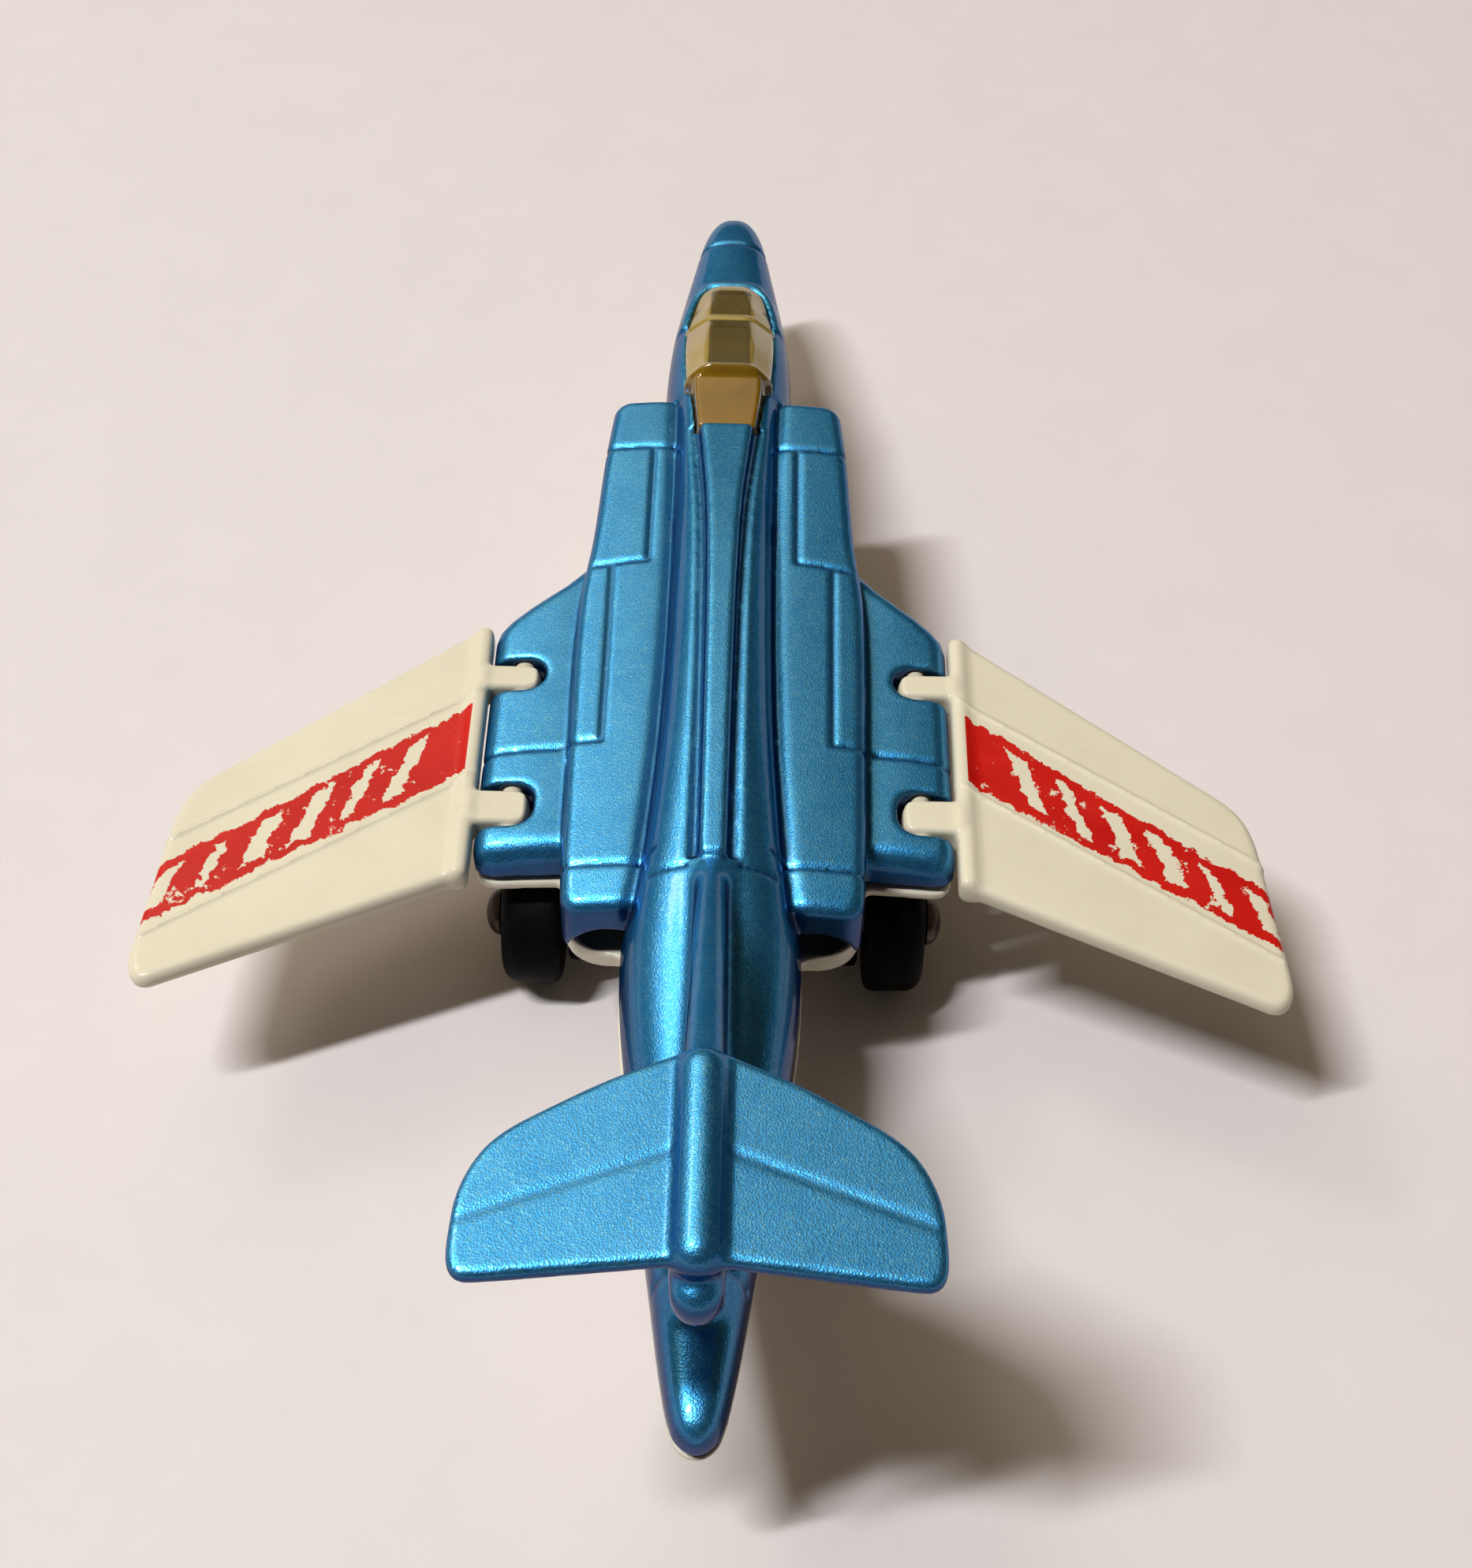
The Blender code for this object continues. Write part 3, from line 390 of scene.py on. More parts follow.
def outline_distance(points, u, v):
    """Signed distance from each (u, v) to a closed outline."""
    inside = np.zeros(np.broadcast(u, v).shape, bool)
    closed = list(points) + [points[0]]
    for (u0, v0), (u1, v1) in zip(closed, closed[1:]):
        if v0 != v1:
            inside ^= ((v0 > v) != (v1 > v)) & (u < (u1 - u0) * (v - v0) / (v1 - v0) + u0)
    distance = path_distance(closed, u, v)
    return np.where(inside, -distance, distance).astype(np.float32)


def engrave(field, distance, width, depth):
    """Sinks the surface by depth along a line. A negative depth raises it."""
    return field + depth * np.exp(-((distance / width) ** 2))


def skin(name, grid, field, smoothing=3):
    """The mesh of a field's surface, in metres."""
    limit = 3 * grid.pitch
    volume = openvdb.FloatGrid(limit)
    volume.copyFromArray(np.clip(np.broadcast_to(field, grid.shape), -limit, limit).astype(np.float32))
    points, faces = volume.convertToQuads(0.0)
    points = points.astype(float) * grid.pitch + grid.low
    faces = faces[:, ::-1].astype(np.int64)
    return fast_mesh(name, relax(points, faces, smoothing) * MM, faces)


def relax(points, faces, rounds):
    """Evens out the small steps that sampling leaves, without shrinking the shape."""
    ends = np.concatenate([faces[:, [0, 1]], faces[:, [1, 2]], faces[:, [2, 3]], faces[:, [3, 0]]])
    ends = np.unique(np.sort(ends, axis=1), axis=0)
    start = np.concatenate([ends[:, 0], ends[:, 1]])
    end = np.concatenate([ends[:, 1], ends[:, 0]])
    count = np.maximum(np.bincount(start, minlength=len(points)), 1)
    for weight in [0.55, -0.57] * rounds:
        middle = [np.bincount(start, points[end, i], len(points)) / count for i in range(3)]
        points = points + weight * (np.stack(middle, axis=1) - points)
    return points


def fast_mesh(name, points, faces):
    """A smooth object of four-sided faces, facing outwards."""
    mesh = bpy.data.meshes.new(name)
    mesh.vertices.add(len(points))
    mesh.vertices.foreach_set("co", points.astype(np.float32).ravel())
    mesh.loops.add(faces.size)
    mesh.loops.foreach_set("vertex_index", faces.astype(np.int32).ravel())
    mesh.polygons.add(len(faces))
    mesh.polygons.foreach_set("loop_start", np.arange(0, faces.size, faces.shape[1], dtype=np.int32))
    mesh.update(calc_edges=True)
    mesh.validate()
    mesh.shade_smooth()
    obj = bpy.data.objects.new(name, mesh)
    bpy.context.scene.collection.objects.link(obj)
    if volume_of(points, faces) < 0:
        mesh.flip_normals()
    return obj


def volume_of(points, faces):
    """Six times the volume that four-sided faces enclose, negative when they point inwards."""
    first, second, third, fourth = (points[faces[:, i]] for i in range(4))
    halves = np.cross(second, third) + np.cross(third, fourth)
    return np.einsum("ij,ij->", first, halves)


# ---------------------------------------------------------------- casting


def fuselage_field(grid, upper):
    """Half of a round-cornered tube: above the split with upper, below it without."""
    half_width, top, belly = along(FUSELAGE, grid.y)
    rise = (grid.z - CAST_BOTTOM) if upper else (BASE_TOP - grid.z)
    height = (top - CAST_BOTTOM) if upper else (BASE_TOP - belly)
    across = np.abs(grid.x) / half_width
    up = np.maximum(rise, 0) / height
    power = BOXINESS + 0.5 * np.exp(-(((grid.y - 29.0) / 7.0) ** 2))
    reach = (across**power + up**power + 1e-9) ** (1 / power)
    slope = np.sqrt(
        (reach ** (1 - power) * across ** (power - 1) / half_width) ** 2
        + (reach ** (1 - power) * up ** (power - 1) / height) ** 2
    )
    field = (reach - 1) / np.maximum(slope, 0.05)
    return rounded(0.45, field, slab(grid.y, FUSELAGE[-1][0], FUSELAGE[0][0]))


def nacelle_field(grid):
    """Both nacelles: flat-topped boxes with a slight crown outwards."""
    outer, top = along(NACELLE, grid.y)
    x = np.abs(grid.x)
    front = grid.y - NACELLE[0][0]
    rear = NACELLE[-1][0] - grid.y
    plan = rounded(1.1, x - outer, 1.0 - x, front, rear)
    crown = 0.05 * np.maximum(x - 4.0, 0) ** 1.5
    return rounded(0.75, plan, grid.z - top + crown)


def spine_field(grid):
    half_width, rise = along(SPINE, grid.y)
    top = along(FUSELAGE, grid.y)[1] + rise
    return rounded(0.4, np.abs(grid.x) - half_width, grid.z - top, 12.0 - grid.z,
                   slab(grid.y, SPINE[-1][0], SPINE[0][0]))


def spine_groove(grid):
    """Distance to the two lines sunk along the feet of the spine."""
    half_width = along(SPINE, grid.y)[0]
    near = (grid.y < SPINE[0][0] + 0.5) & (grid.y > SPINE[-1][0]) & (grid.z > 15.5)
    return np.where(near, np.abs(np.abs(grid.x) - half_width - GROOVE_OFFSET), FAR)


def fin_field(grid):
    side_view = outline_distance(FIN_OUTLINE, grid.y, grid.z)
    half = FIN_HALF_WIDTH + 0.25 * np.clip((-20.0 - grid.y) / 20.0, 0, 1)
    blade = rounded(0.75, side_view, np.abs(grid.x) - half)
    cap = round_bar(grid, CAP_Y, grid.z - CAP_Z)
    above = grid.z - BULLET_Z
    bullet = round_bar(grid, BULLET_Y, np.where(above < 0, 0.55, 1.0) * above)
    return join(join(blade, bullet, 0.5), cap, 0.6)


def round_bar(grid, ends, above):
    """A round-ended bar along y, from its ends and the height above its axis."""
    place = np.clip(grid.y, *ends)
    return np.sqrt(grid.x**2 + (grid.y - place) ** 2 + above**2) - CAP_RADIUS


def stabiliser_field(grid):
    plan = outline_distance(softened(STABILISER_OUTLINE, 0.9), np.abs(grid.x), grid.y)
    low, high = STABILISER_Z
    height = grid.z + STABILISER_DROOP * np.abs(grid.x)
    field = rounded(0.42, plan, slab(height, low, high))
    depth = np.where(height > low + 0.4, 0.085, 0.0)
    return engrave(field, path_distance(ELEVATOR_LINE, np.abs(grid.x), grid.y), 0.24, depth)


def wing_block_field(grid):
    """Both wing-root blocks, falling away at the rear and towards the hinge."""
    plan = outline_distance(BLOCK_OUTLINE, np.abs(grid.x), grid.y)
    fall = 0.6 * np.clip((-11.2 - grid.y) / 1.7, 0, 1) ** 2
    crown = 0.45 * np.clip((np.abs(grid.x) - 9.0) / 4.7, 0, 1) ** 2
    return rounded(1.1, plan, grid.z - BLOCK_TOP + fall + crown)


def slot_plan(grid, front, rear, end, radius):
    """A slot in plan: open outwards, round at its inner end."""
    x = np.abs(grid.x)
    return rounded(radius, end - x, slab(grid.y, rear, front))


def canopy_margin(grid, margin):
    """The canopy's outline in plan, grown by margin."""
    half_width = along(CANOPY, grid.y)[0]
    ends = slab(grid.y, CANOPY[-1][0], CANOPY[0][0])
    return rounded(0.5, np.abs(grid.x) - half_width - margin, ends - margin)


def casting_field(grid):
    """The casting's outside, with its engraved lines and the raised rim before the canopy."""
    x = np.abs(grid.x)
    body = fuselage_field(grid, upper=True)
    body = engrave(body, spine_groove(grid), 0.3, 0.28)
    body = join(body, spine_field(grid), 0.15)
    body = join(body, nacelle_field(grid), 0.25)
    crease = np.where(grid.z < 16.4, path_distance(NACELLE_FOOT, x, grid.y), FAR)
    body = engrave(body, crease, 0.4, 0.22)
    body = join(body, wing_block_field(grid), 0.4)
    body = join(body, fin_field(grid), 1.0)
    body = join(body, stabiliser_field(grid), 0.4)
    on_top = np.where(grid.z < 20.0, nearest_line(PANEL_LINES, x, grid.y), FAR)
    body = engrave(body, on_top, 0.18, 0.17)
    body = engrave(body, np.abs(grid.y - NOSE_LINE_Y), 0.22, 0.17)
    on_fin = path_distance(RUDDER_LINE, grid.y, grid.z)
    body = engrave(body, np.where(grid.z < 25.2, on_fin, FAR), 0.2, 0.14)
    rim = np.abs(canopy_margin(grid, 0.42))
    body = engrave(body, np.where(grid.y > 31.0, rim, FAR), 0.28, -0.2)
    return cut_casting(grid, body)


def cut_casting(grid, body):
    """The casting with its cavities, jet pipes, intakes, canopy opening, finger slots and rod channels."""
    x = np.abs(grid.x)
    top = along(FUSELAGE, grid.y)[1]
    core_half = np.minimum(along(FUSELAGE, grid.y)[0] - CORE_WALL, CORE_HALF_WIDTH)
    core = rounded(0.8, x - core_half, grid.z - top + CORE_ROOF, slab(grid.y, *CORE_Y))
    body = remove(body, core, 0.2)
    pod_core = rounded(0.5, slab(x, *POD_CORE_X), slab(grid.y, *POD_CORE_Y), grid.z - POD_CORE_TOP)
    body = remove(body, pod_core, 0.2)
    bore = cylinder(x, grid.z, NOZZLE[:2], NOZZLE[2], slab(grid.y, -OUTSIDE, NOZZLE_FRONT_Y))
    body = remove(body, bore, 0.35)
    intake = rounded(0.5, slab(x, *INTAKE_X), grid.z - INTAKE_TOP, slab(grid.y, INTAKE_END_Y, OUTSIDE))
    body = remove(body, intake, 0.3)
    body = remove(body, np.maximum(canopy_margin(grid, -0.04), 12.6 - grid.z), 0.1)
    body = join(body, block(grid, *COCKPIT_FLOOR, 0.2), 0.2)
    for rear, _, _, front in SLOTS:
        slot = slot_plan(grid, front, rear, HINGE[0] - EYE_RADIUS - SLOT_END_GAP, SLOT_RADIUS)
        body = remove(body, slot, 0.4)
    length = slab(grid.y, ROD_Y[0] - CHANNEL_END_GAP, ROD_Y[1] + CHANNEL_END_GAP)
    channel = cylinder(x, grid.z, HINGE, ROD_RADIUS + CHANNEL_GAP, length)
    below = rounded(0.0, np.abs(x - HINGE[0]) - 0.9, grid.z - HINGE[1], length)
    body = remove(body, join(channel, below), 0.1)
    return remove(body, grid.z - CAST_BOTTOM, 0.25)


def make_casting():
    grid = grid_round("upper_body", PITCH)
    obj = skin("die_cast_body", grid, casting_field(grid))
    return place(obj, "airframe", "candy_blue", "upper_body")


# ---------------------------------------------------------------- base


def base_field(grid):
    x = np.abs(grid.x)
    body = fuselage_field(grid, upper=False)
    pod = along(BASE_POD, grid.y)
    pods = rounded(1.6, x - pod[0], 1.0 - x, pod[1] - grid.z, slab(grid.y, BASE_POD[-1][0], BASE_POD[0][0]))
    body = join(body, pods, 0.7)
    plate = outline_distance([(u - 0.15, v - 0.15) for u, v in BLOCK_OUTLINE], x, grid.y)
    body = join(body, rounded(0.2, plate, slab(grid.z, 9.3, 10.6)), 0.5)
    body = engrave(body, underside_lines(grid), 0.2, 0.16)
    body = join(body, block(grid, *BELLY_PAD, 0.15), 0.3)
    leg = rounded(0.35, slab(x, *LEG[0]), slab(grid.y, *LEG[1]), slab(grid.z, *LEG[2]))
    body = join(body, leg, 0.5)
    tray = rounded(0.4, x - CORE_HALF_WIDTH, slab(grid.y, *TRAY_Y), TRAY_BOTTOM - grid.z)
    body = remove(body, tray, 0.15)
    pod_wall = np.minimum(pod[0] - 0.6, np.where(grid.y > POD_CORE_Y[0], POD_CORE_X[1] - 0.5, OUTSIDE))
    pod_length = slab(grid.y, BASE_POD[-1][0] + 0.75, POD_CORE_Y[1])
    pod_tray = rounded(0.4, x - pod_wall, POD_CORE_X[0] - x, pod_length, pod[1] + POD_FLOOR - grid.z)
    body = remove(body, pod_tray, 0.15)
    intake = rounded(0.5, slab(x, *INTAKE_X), INTAKE_BOTTOM - grid.z, slab(grid.y, INTAKE_END_Y, OUTSIDE))
    body = remove(body, intake, 0.25)
    body = remove(body, cylinder(grid.y, grid.z, NOSE_AXLE, NOSE_AXLE_BORE, slab(x, 0.0, 5.0)), 0.1)
    body = remove(body, BASE_TOP - grid.z, 0.15)
    return finish_base(grid, body)


def finish_base(grid, body):
    """The base with its rod saddles, rivet bosses and post holes."""
    x = np.abs(grid.x)
    for rear, front in SADDLES_Y:
        saddle = rounded(0.1, slab(x, 11.3, 12.3), slab(grid.y, rear, front), slab(grid.z, 9.6, 10.4))
        body = join(body, saddle, 0.1)
    for place_y in RIVETS_Y:
        boss = cylinder(grid.x, grid.y, (0.0, place_y), RIVET_BOSS, slab(grid.z, 7.2, BASE_TOP))
        body = join(body, boss, 0.2)
        bore = cylinder(grid.x, grid.y, (0.0, place_y), RIVET_BORE, slab(grid.z, 0.0, OUTSIDE))
        body = remove(body, bore, 0.1)
    post = cylinder(x, grid.y, (POST_X, MAIN_AXLE[0]), POST_BORE, slab(grid.z, 0.0, 8.5))
    return remove(body, post, 0.1)


def underside_lines(grid):
    """Lines moulded into the belly, in plan."""
    x = np.abs(grid.x)
    near_belly = np.where(grid.z < 9.0, 0.0, FAR)
    return nearest_line(BELLY_LINES, x, grid.y) + near_belly


def make_base():
    grid = grid_round("base", PITCH)
    obj = skin("plastic_base", grid, base_field(grid), 2)
    return place(obj, "airframe", "cream_plastic", "base")


# ---------------------------------------------------------------- wings


def wing_field(grid, side):
    """A slender panel with a rib along its root, two fingers and the hinge rod."""
    x = side * grid.x
    middle = HINGE[1] - (x - ROOT_X) * WING_DROOP
    half = WING_HALF_THICKNESS - 0.1 * np.clip((x - ROOT_X) / 18.0, 0, 1)
    plan = outline_distance(softened(WING_OUTLINE, 0.25), x, grid.y)
    panel = rounded(0.5, plan, np.abs(grid.z - middle) - half)
    height = np.where(grid.z > middle, 0.16, 0.0)
    panel = engrave(panel, nearest_line(WING_RIDGES, x, grid.y), 0.14, -height)
    rib_height = np.abs(grid.z - HINGE[1]) - ROOT_RIB_HALF_HEIGHT
    rib = rounded(0.25, slab(x, *ROOT_RIB_X), slab(grid.y, *ROOT_RIB_Y), rib_height)
    wing = join(panel, rib, 0.9)
    for _, rear, front, _ in SLOTS:
        wing = join(wing, finger_field(grid, x, rear, front), 0.5)
    rod = cylinder(x, grid.z, HINGE, ROD_RADIUS, slab(grid.y, *ROD_Y))
    return join(wing, rod, 0.15)


def finger_field(grid, x, rear, front):
    """A tab that ends in a rounded eye about the hinge rod."""
    plan = rounded(0.88, HINGE[0] - FINGER_REACH - x, slab(grid.y, rear, front), x - 14.3)
    eye = np.sqrt(np.minimum(x - HINGE[0], 0) ** 2 + (grid.z - HINGE[1]) ** 2) - EYE_RADIUS
    tab = np.abs(grid.z - HINGE[1]) - 0.9
    return rounded(0.3, plan, np.maximum(eye, tab))


def make_wing(label, side):
    node = label + "_wing"
    grid = grid_round(node, WING_PITCH)
    obj = skin(label + "_wing_panel", grid, wing_field(grid, side), 2)
    return place(obj, node, "cream_plastic", node)


# ---------------------------------------------------------------- canopy


def canopy_field(grid):
    """A dome with a flat top between sloping facets, moulded ribs and a step down behind the rear one."""
    half_width, top, flat = along(CANOPY, grid.y)
    x = np.abs(grid.x)
    run, drop = half_width - flat, np.clip(top - CANOPY_SILL, 0.3, 1.35)
    facet = ((x - flat) * drop + (grid.z - top) * run) / np.sqrt(drop**2 + run**2)
    ends = slab(grid.y, CANOPY[-1][0], CANOPY[0][0])
    dome = rounded(0.25, x - half_width, facet, grid.z - top)
    dome = rounded(0.15, dome, CANOPY_BOTTOM - grid.z, ends)
    for y, height in CANOPY_ARCHES:
        dome = dome - height * np.exp(-(((grid.y - y) / 0.22) ** 2)) * np.where(grid.z > 14.3, 1.0, 0.0)
    for rear, front in CANOPY_WINDOWS:
        window = rounded(0.15, x - 1.3, slab(grid.y, rear, front), grid.z - top + 0.6)
        dome = remove(dome, window, 0.1)
    for low, high, radius in CANOPY_TONGUES:
        dome = join(dome, block(grid, low, high, radius))
    return dome


def make_canopy():
    grid = grid_round("canopy", FINE_PITCH)
    obj = skin("clear_canopy", grid, canopy_field(grid), 3)
    return place(obj, "airframe", "amber_clear", "canopy")


# ---------------------------------------------------------------- undercarriage


def turned(name, profile, centre, sides=96):
    """A profile of (x, radius), from one end to the other, turned about a line along x."""
    angles = np.arange(sides) * math.tau / sides
    xs, radii = np.array(profile).T
    points = np.empty((len(profile), sides, 3))
    points[:, :, 0] = xs[:, None]
    points[:, :, 1] = centre[0] + radii[:, None] * np.cos(angles)
    points[:, :, 2] = centre[1] + radii[:, None] * np.sin(angles)
    rows, columns = np.meshgrid(np.arange(len(profile) - 1), np.arange(sides), indexing="ij")
    following = (columns + 1) % sides
    faces = np.stack([rows * sides + columns, rows * sides + following,
                      (rows + 1) * sides + following, (rows + 1) * sides + columns], axis=-1)
    return fast_mesh(name, points.reshape(-1, 3) * MM, faces.reshape(-1, 4))


def arc(x, r, radius, start, end, steps=8):
    """Profile points round a centre (x, r), from one angle to another, in degrees."""
    angles = np.radians(np.linspace(start, end, steps))
    return [(x + radius * math.cos(a), r + radius * math.sin(a)) for a in angles]


def make_main_wheel(label, side):
    """A wide tyre with a sunk outer face, and a faint ridge round its tread that meets the floor."""
    node = label + "_main_wheel"
    inner, outer = TYRE_X
    right = [(inner + 0.15, TYRE_BORE), (inner + 0.05, 1.5), (inner, 2.0)]
    right += arc(inner + 0.6, 3.55, 0.6, 180, 90)
    right += [(10.2, MAIN_AXLE[1]), (10.4, TREAD_RADIUS), (11.2, TREAD_RADIUS)]
    right += arc(outer - 1.05, TREAD_RADIUS - 1.05, 1.05, 90, 0)
    right += arc(outer - 0.2, 2.75, 0.2, 0, -90, 5)
    right += [(outer - 0.38, 2.4), (outer - 0.42, 1.9), (outer - 0.42, TYRE_BORE)]
    profile = right + [right[0]]
    obj = turned(label + "_tyre", [(side * x, r) for x, r in profile], MAIN_AXLE)
    weld(obj)
    return place(obj, node, "black_plastic", node)


def weld(obj):
    """Joins the ends of a turned profile and faces it outwards."""
    shape = bmesh.new()
    shape.from_mesh(obj.data)
    bmesh.ops.remove_doubles(shape, verts=shape.verts, dist=1e-7)
    bmesh.ops.recalc_face_normals(shape, faces=shape.faces)
    shape.to_mesh(obj.data)
    shape.free()
    obj.data.shade_smooth()
    obj.data.set_sharp_from_angle(angle=math.radians(50.0))


def make_axle():
    """A wire with a domed, upset head at each end."""
    face, head = MAIN_AXLE_END, AXLE_HEAD_RADIUS
    right = [(face, MAIN_AXLE_RADIUS), (face, head - 0.28), (face + 0.08, head - 0.08)]
    for angle in np.radians(np.linspace(0, 90, 9)):
        right.append((face + 0.12 + 0.86 * math.sin(angle), max(head * math.cos(angle), 0.001)))
    profile = [(-x, r) for x, r in reversed(right)] + right
    obj = turned("main_axle_wire", profile, MAIN_AXLE, 64)
    weld(obj)
    return place(obj, "airframe", "axle_steel", "main_axle")


def make_nose_wheel():
    """A narrow tyre with rounded shoulders."""
    right = [(0.75, 0.8), (0.75, 1.3), (0.9, 1.5)] + arc(0.55, 2.05, 0.35, 0, 90)
    profile = [(-x, r) for x, r in reversed(right)] + right
    profile.append(profile[0])
    obj = turned("nose_tyre", profile, NOSE_AXLE, 72)
    weld(obj)
    return place(obj, "nose_wheel", "black_plastic", "nose_wheel")


def place(obj, body, slot, *nodes):
    """Ties a piece to its body and hides the CAD nodes that it stands for. The slot argument is not used."""
    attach(obj, body)
    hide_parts(*nodes)
    return obj


# ---------------------------------------------------------------- materials


class Nodes:
    """A material's node tree, with short ways to add to it."""

    def __init__(self, name):
        self.material = bpy.data.materials.new(name)
        self.material.use_nodes = True
        self.tree = self.material.node_tree
        self.shader = self.tree.nodes["Principled BSDF"]
        self.place = self.new("ShaderNodeTexCoord").outputs["Object"]

    def new(self, kind, **values):
        node = self.tree.nodes.new(kind)
        for key, value in values.items():
            setattr(node, key, value)
        return node

    def link(self, source, target):
        self.tree.links.new(source, target)

    def set(self, **values):
        for key, value in values.items():
            self.shader.inputs[key.replace("_", " ")].default_value = value

    def noise(self, scale, detail=2.0, rough=0.5):
        node = self.new("ShaderNodeTexNoise")
        self.link(self.place, node.inputs["Vector"])
        node.inputs["Scale"].default_value = scale
        node.inputs["Detail"].default_value = detail
        node.inputs["Roughness"].default_value = rough
        return node.outputs["Fac"]

    def ramp(self, source, *stops):
        node = self.new("ShaderNodeValToRGB")
        elements = node.color_ramp.elements
        while len(elements) < len(stops):
            elements.new(0.5)
        for element, (position, colour) in zip(elements, stops):
            element.position = position
            element.color = colour if len(colour) == 4 else (*colour, 1.0)
        self.link(source, node.inputs["Fac"])
        return node.outputs["Color"]

    def math(self, operation, first, second=0.0, third=0.0):
        node = self.new("ShaderNodeMath", operation=operation)
        for socket, value in zip(node.inputs, (first, second, third)):
            if isinstance(value, (int, float)):
                socket.default_value = value
            else:
                self.link(value, socket)
        return node.outputs[0]

    def span(self, value, low, high):
        """0 below low, 1 above high, and a smooth step between them."""
        node = self.new("ShaderNodeMapRange", interpolation_type="SMOOTHSTEP")
        self.link(value, node.inputs["Value"])
        node.inputs["From Min"].default_value = low
        node.inputs["From Max"].default_value = high
        return node.outputs["Result"]

    def mix(self, factor, first, second, blend="MIX"):
        node = self.new("ShaderNodeMix", data_type="RGBA", blend_type=blend)
        for socket, value in ((node.inputs[0], factor), (node.inputs[6], first), (node.inputs[7], second)):
            if isinstance(value, tuple):
                socket.default_value = (*value, 1.0)
            elif isinstance(value, (int, float)):
                socket.default_value = value
            else:
                self.link(value, socket)
        return node.outputs[2]

    def axes(self):
        """The surface point's own x, y and z."""
        node = self.new("ShaderNodeSeparateXYZ")
        self.link(self.place, node.inputs[0])
        return node.outputs

    def facing_up(self):
        """1 where the surface faces up, 0 where it is upright."""
        node = self.new("ShaderNodeSeparateXYZ")
        self.link(self.new("ShaderNodeTexCoord").outputs["Normal"], node.inputs[0])
        return node.outputs["Z"]

    def red(self, colour):
        """The red channel of a colour."""
        node = self.new("ShaderNodeSeparateColor")
        self.link(colour, node.inputs[0])
        return node.outputs[0]

    def bump(self, height, strength, distance, normal=None):
        node = self.new("ShaderNodeBump")
        node.inputs["Strength"].default_value = strength
        node.inputs["Distance"].default_value = distance
        self.link(height, node.inputs["Height"])
        if normal is not None:
            self.link(normal, node.inputs["Normal"])
        return node.outputs["Normal"]


def candy_paint():
    """Silver flake under a clear blue lacquer: painted shade on steep walls, pooled lacquer and painted
    shade in creases, less lacquer and a painted highlight on high edges.
    """
    nodes = Nodes("candy_flake_blue")
    flakes = nodes.new("ShaderNodeTexVoronoi")
    nodes.link(nodes.place, flakes.inputs["Vector"])
    flakes.inputs["Scale"].default_value = 9500.0
    sparkle = nodes.math("POWER", nodes.red(flakes.outputs["Color"]), 4.0)
    cloud = nodes.ramp(nodes.noise(500.0, 3.0), (0.35, (0.062, 0.42, 0.92)), (0.65, (0.085, 0.48, 1.0)))
    base = nodes.mix(nodes.math("MULTIPLY", sparkle, 0.65), cloud, (0.25, 0.7, 1.0))
    edges = nodes.new("ShaderNodeNewGeometry").outputs["Pointiness"]
    # Creases are darkened, partly for lacquer pooled in them and partly as painted shade; high edges are
    # lightened, partly for less lacquer and partly as a painted highlight.
    pooled_lacquer_and_painted_light = nodes.ramp(edges, (0.45, (0.10, 0.12, 0.2)), (0.495, (1, 1, 1)), (0.54, (1.3, 1.15, 1.05)))
    # Painted shade: surfaces are darkened to deep navy as they turn from facing up to upright.
    painted_wall_shade = nodes.mix(nodes.span(nodes.facing_up(), 0.15, 0.9), (0.03, 0.15, 0.23), (1.0, 1.0, 1.0))
    base_with_painted_wall_shade = nodes.mix(1.0, base, painted_wall_shade, "MULTIPLY")
    nodes.link(nodes.mix(1.0, base_with_painted_wall_shade, pooled_lacquer_and_painted_light, "MULTIPLY"), nodes.shader.inputs["Base Color"])
    nodes.set(Metallic=0.93, Specular_Tint=(0.12, 0.25, 0.45, 1.0))
    nodes.set(Coat_Weight=0.5, Coat_Roughness=0.06, Coat_IOR=1.45, Coat_Tint=(0.30, 0.55, 0.60, 1.0))
    rough = nodes.ramp(nodes.noise(3000.0, 2.0), (0.3, (0.35, 0.35, 0.35)), (0.7, (0.41, 0.41, 0.41)))
    nodes.link(rough, nodes.shader.inputs["Roughness"])
    grain = nodes.bump(flakes.outputs["Distance"], 0.36, 0.00004)
    nodes.link(grain, nodes.shader.inputs["Normal"])
    peel = nodes.bump(nodes.noise(700.0, 2.0), 0.15, 0.00008)
    nodes.link(peel, nodes.shader.inputs["Coat Normal"])
    return nodes.material


def moulded(name, rough, grain, depth):
    """A material with uneven gloss and a fine skin, and no colour yet."""
    nodes = Nodes(name)
    gloss = nodes.ramp(nodes.noise(450.0, 4.0), (0.3, (rough - 0.08,) * 3), (0.7, (rough + 0.1,) * 3))
    nodes.link(gloss, nodes.shader.inputs["Roughness"])
    nodes.link(nodes.bump(nodes.noise(grain, 3.0), 0.3, depth), nodes.shader.inputs["Normal"])
    return nodes


def plastic(name, dark, light, rough, grain=2500.0, depth=0.00003):
    """Moulded plastic, slightly mottled between two colours."""
    nodes = moulded(name, rough, grain, depth)
    colour = nodes.ramp(nodes.noise(180.0, 4.0), (0.35, dark), (0.68, light))
    nodes.link(colour, nodes.shader.inputs["Base Color"])
    return nodes, colour


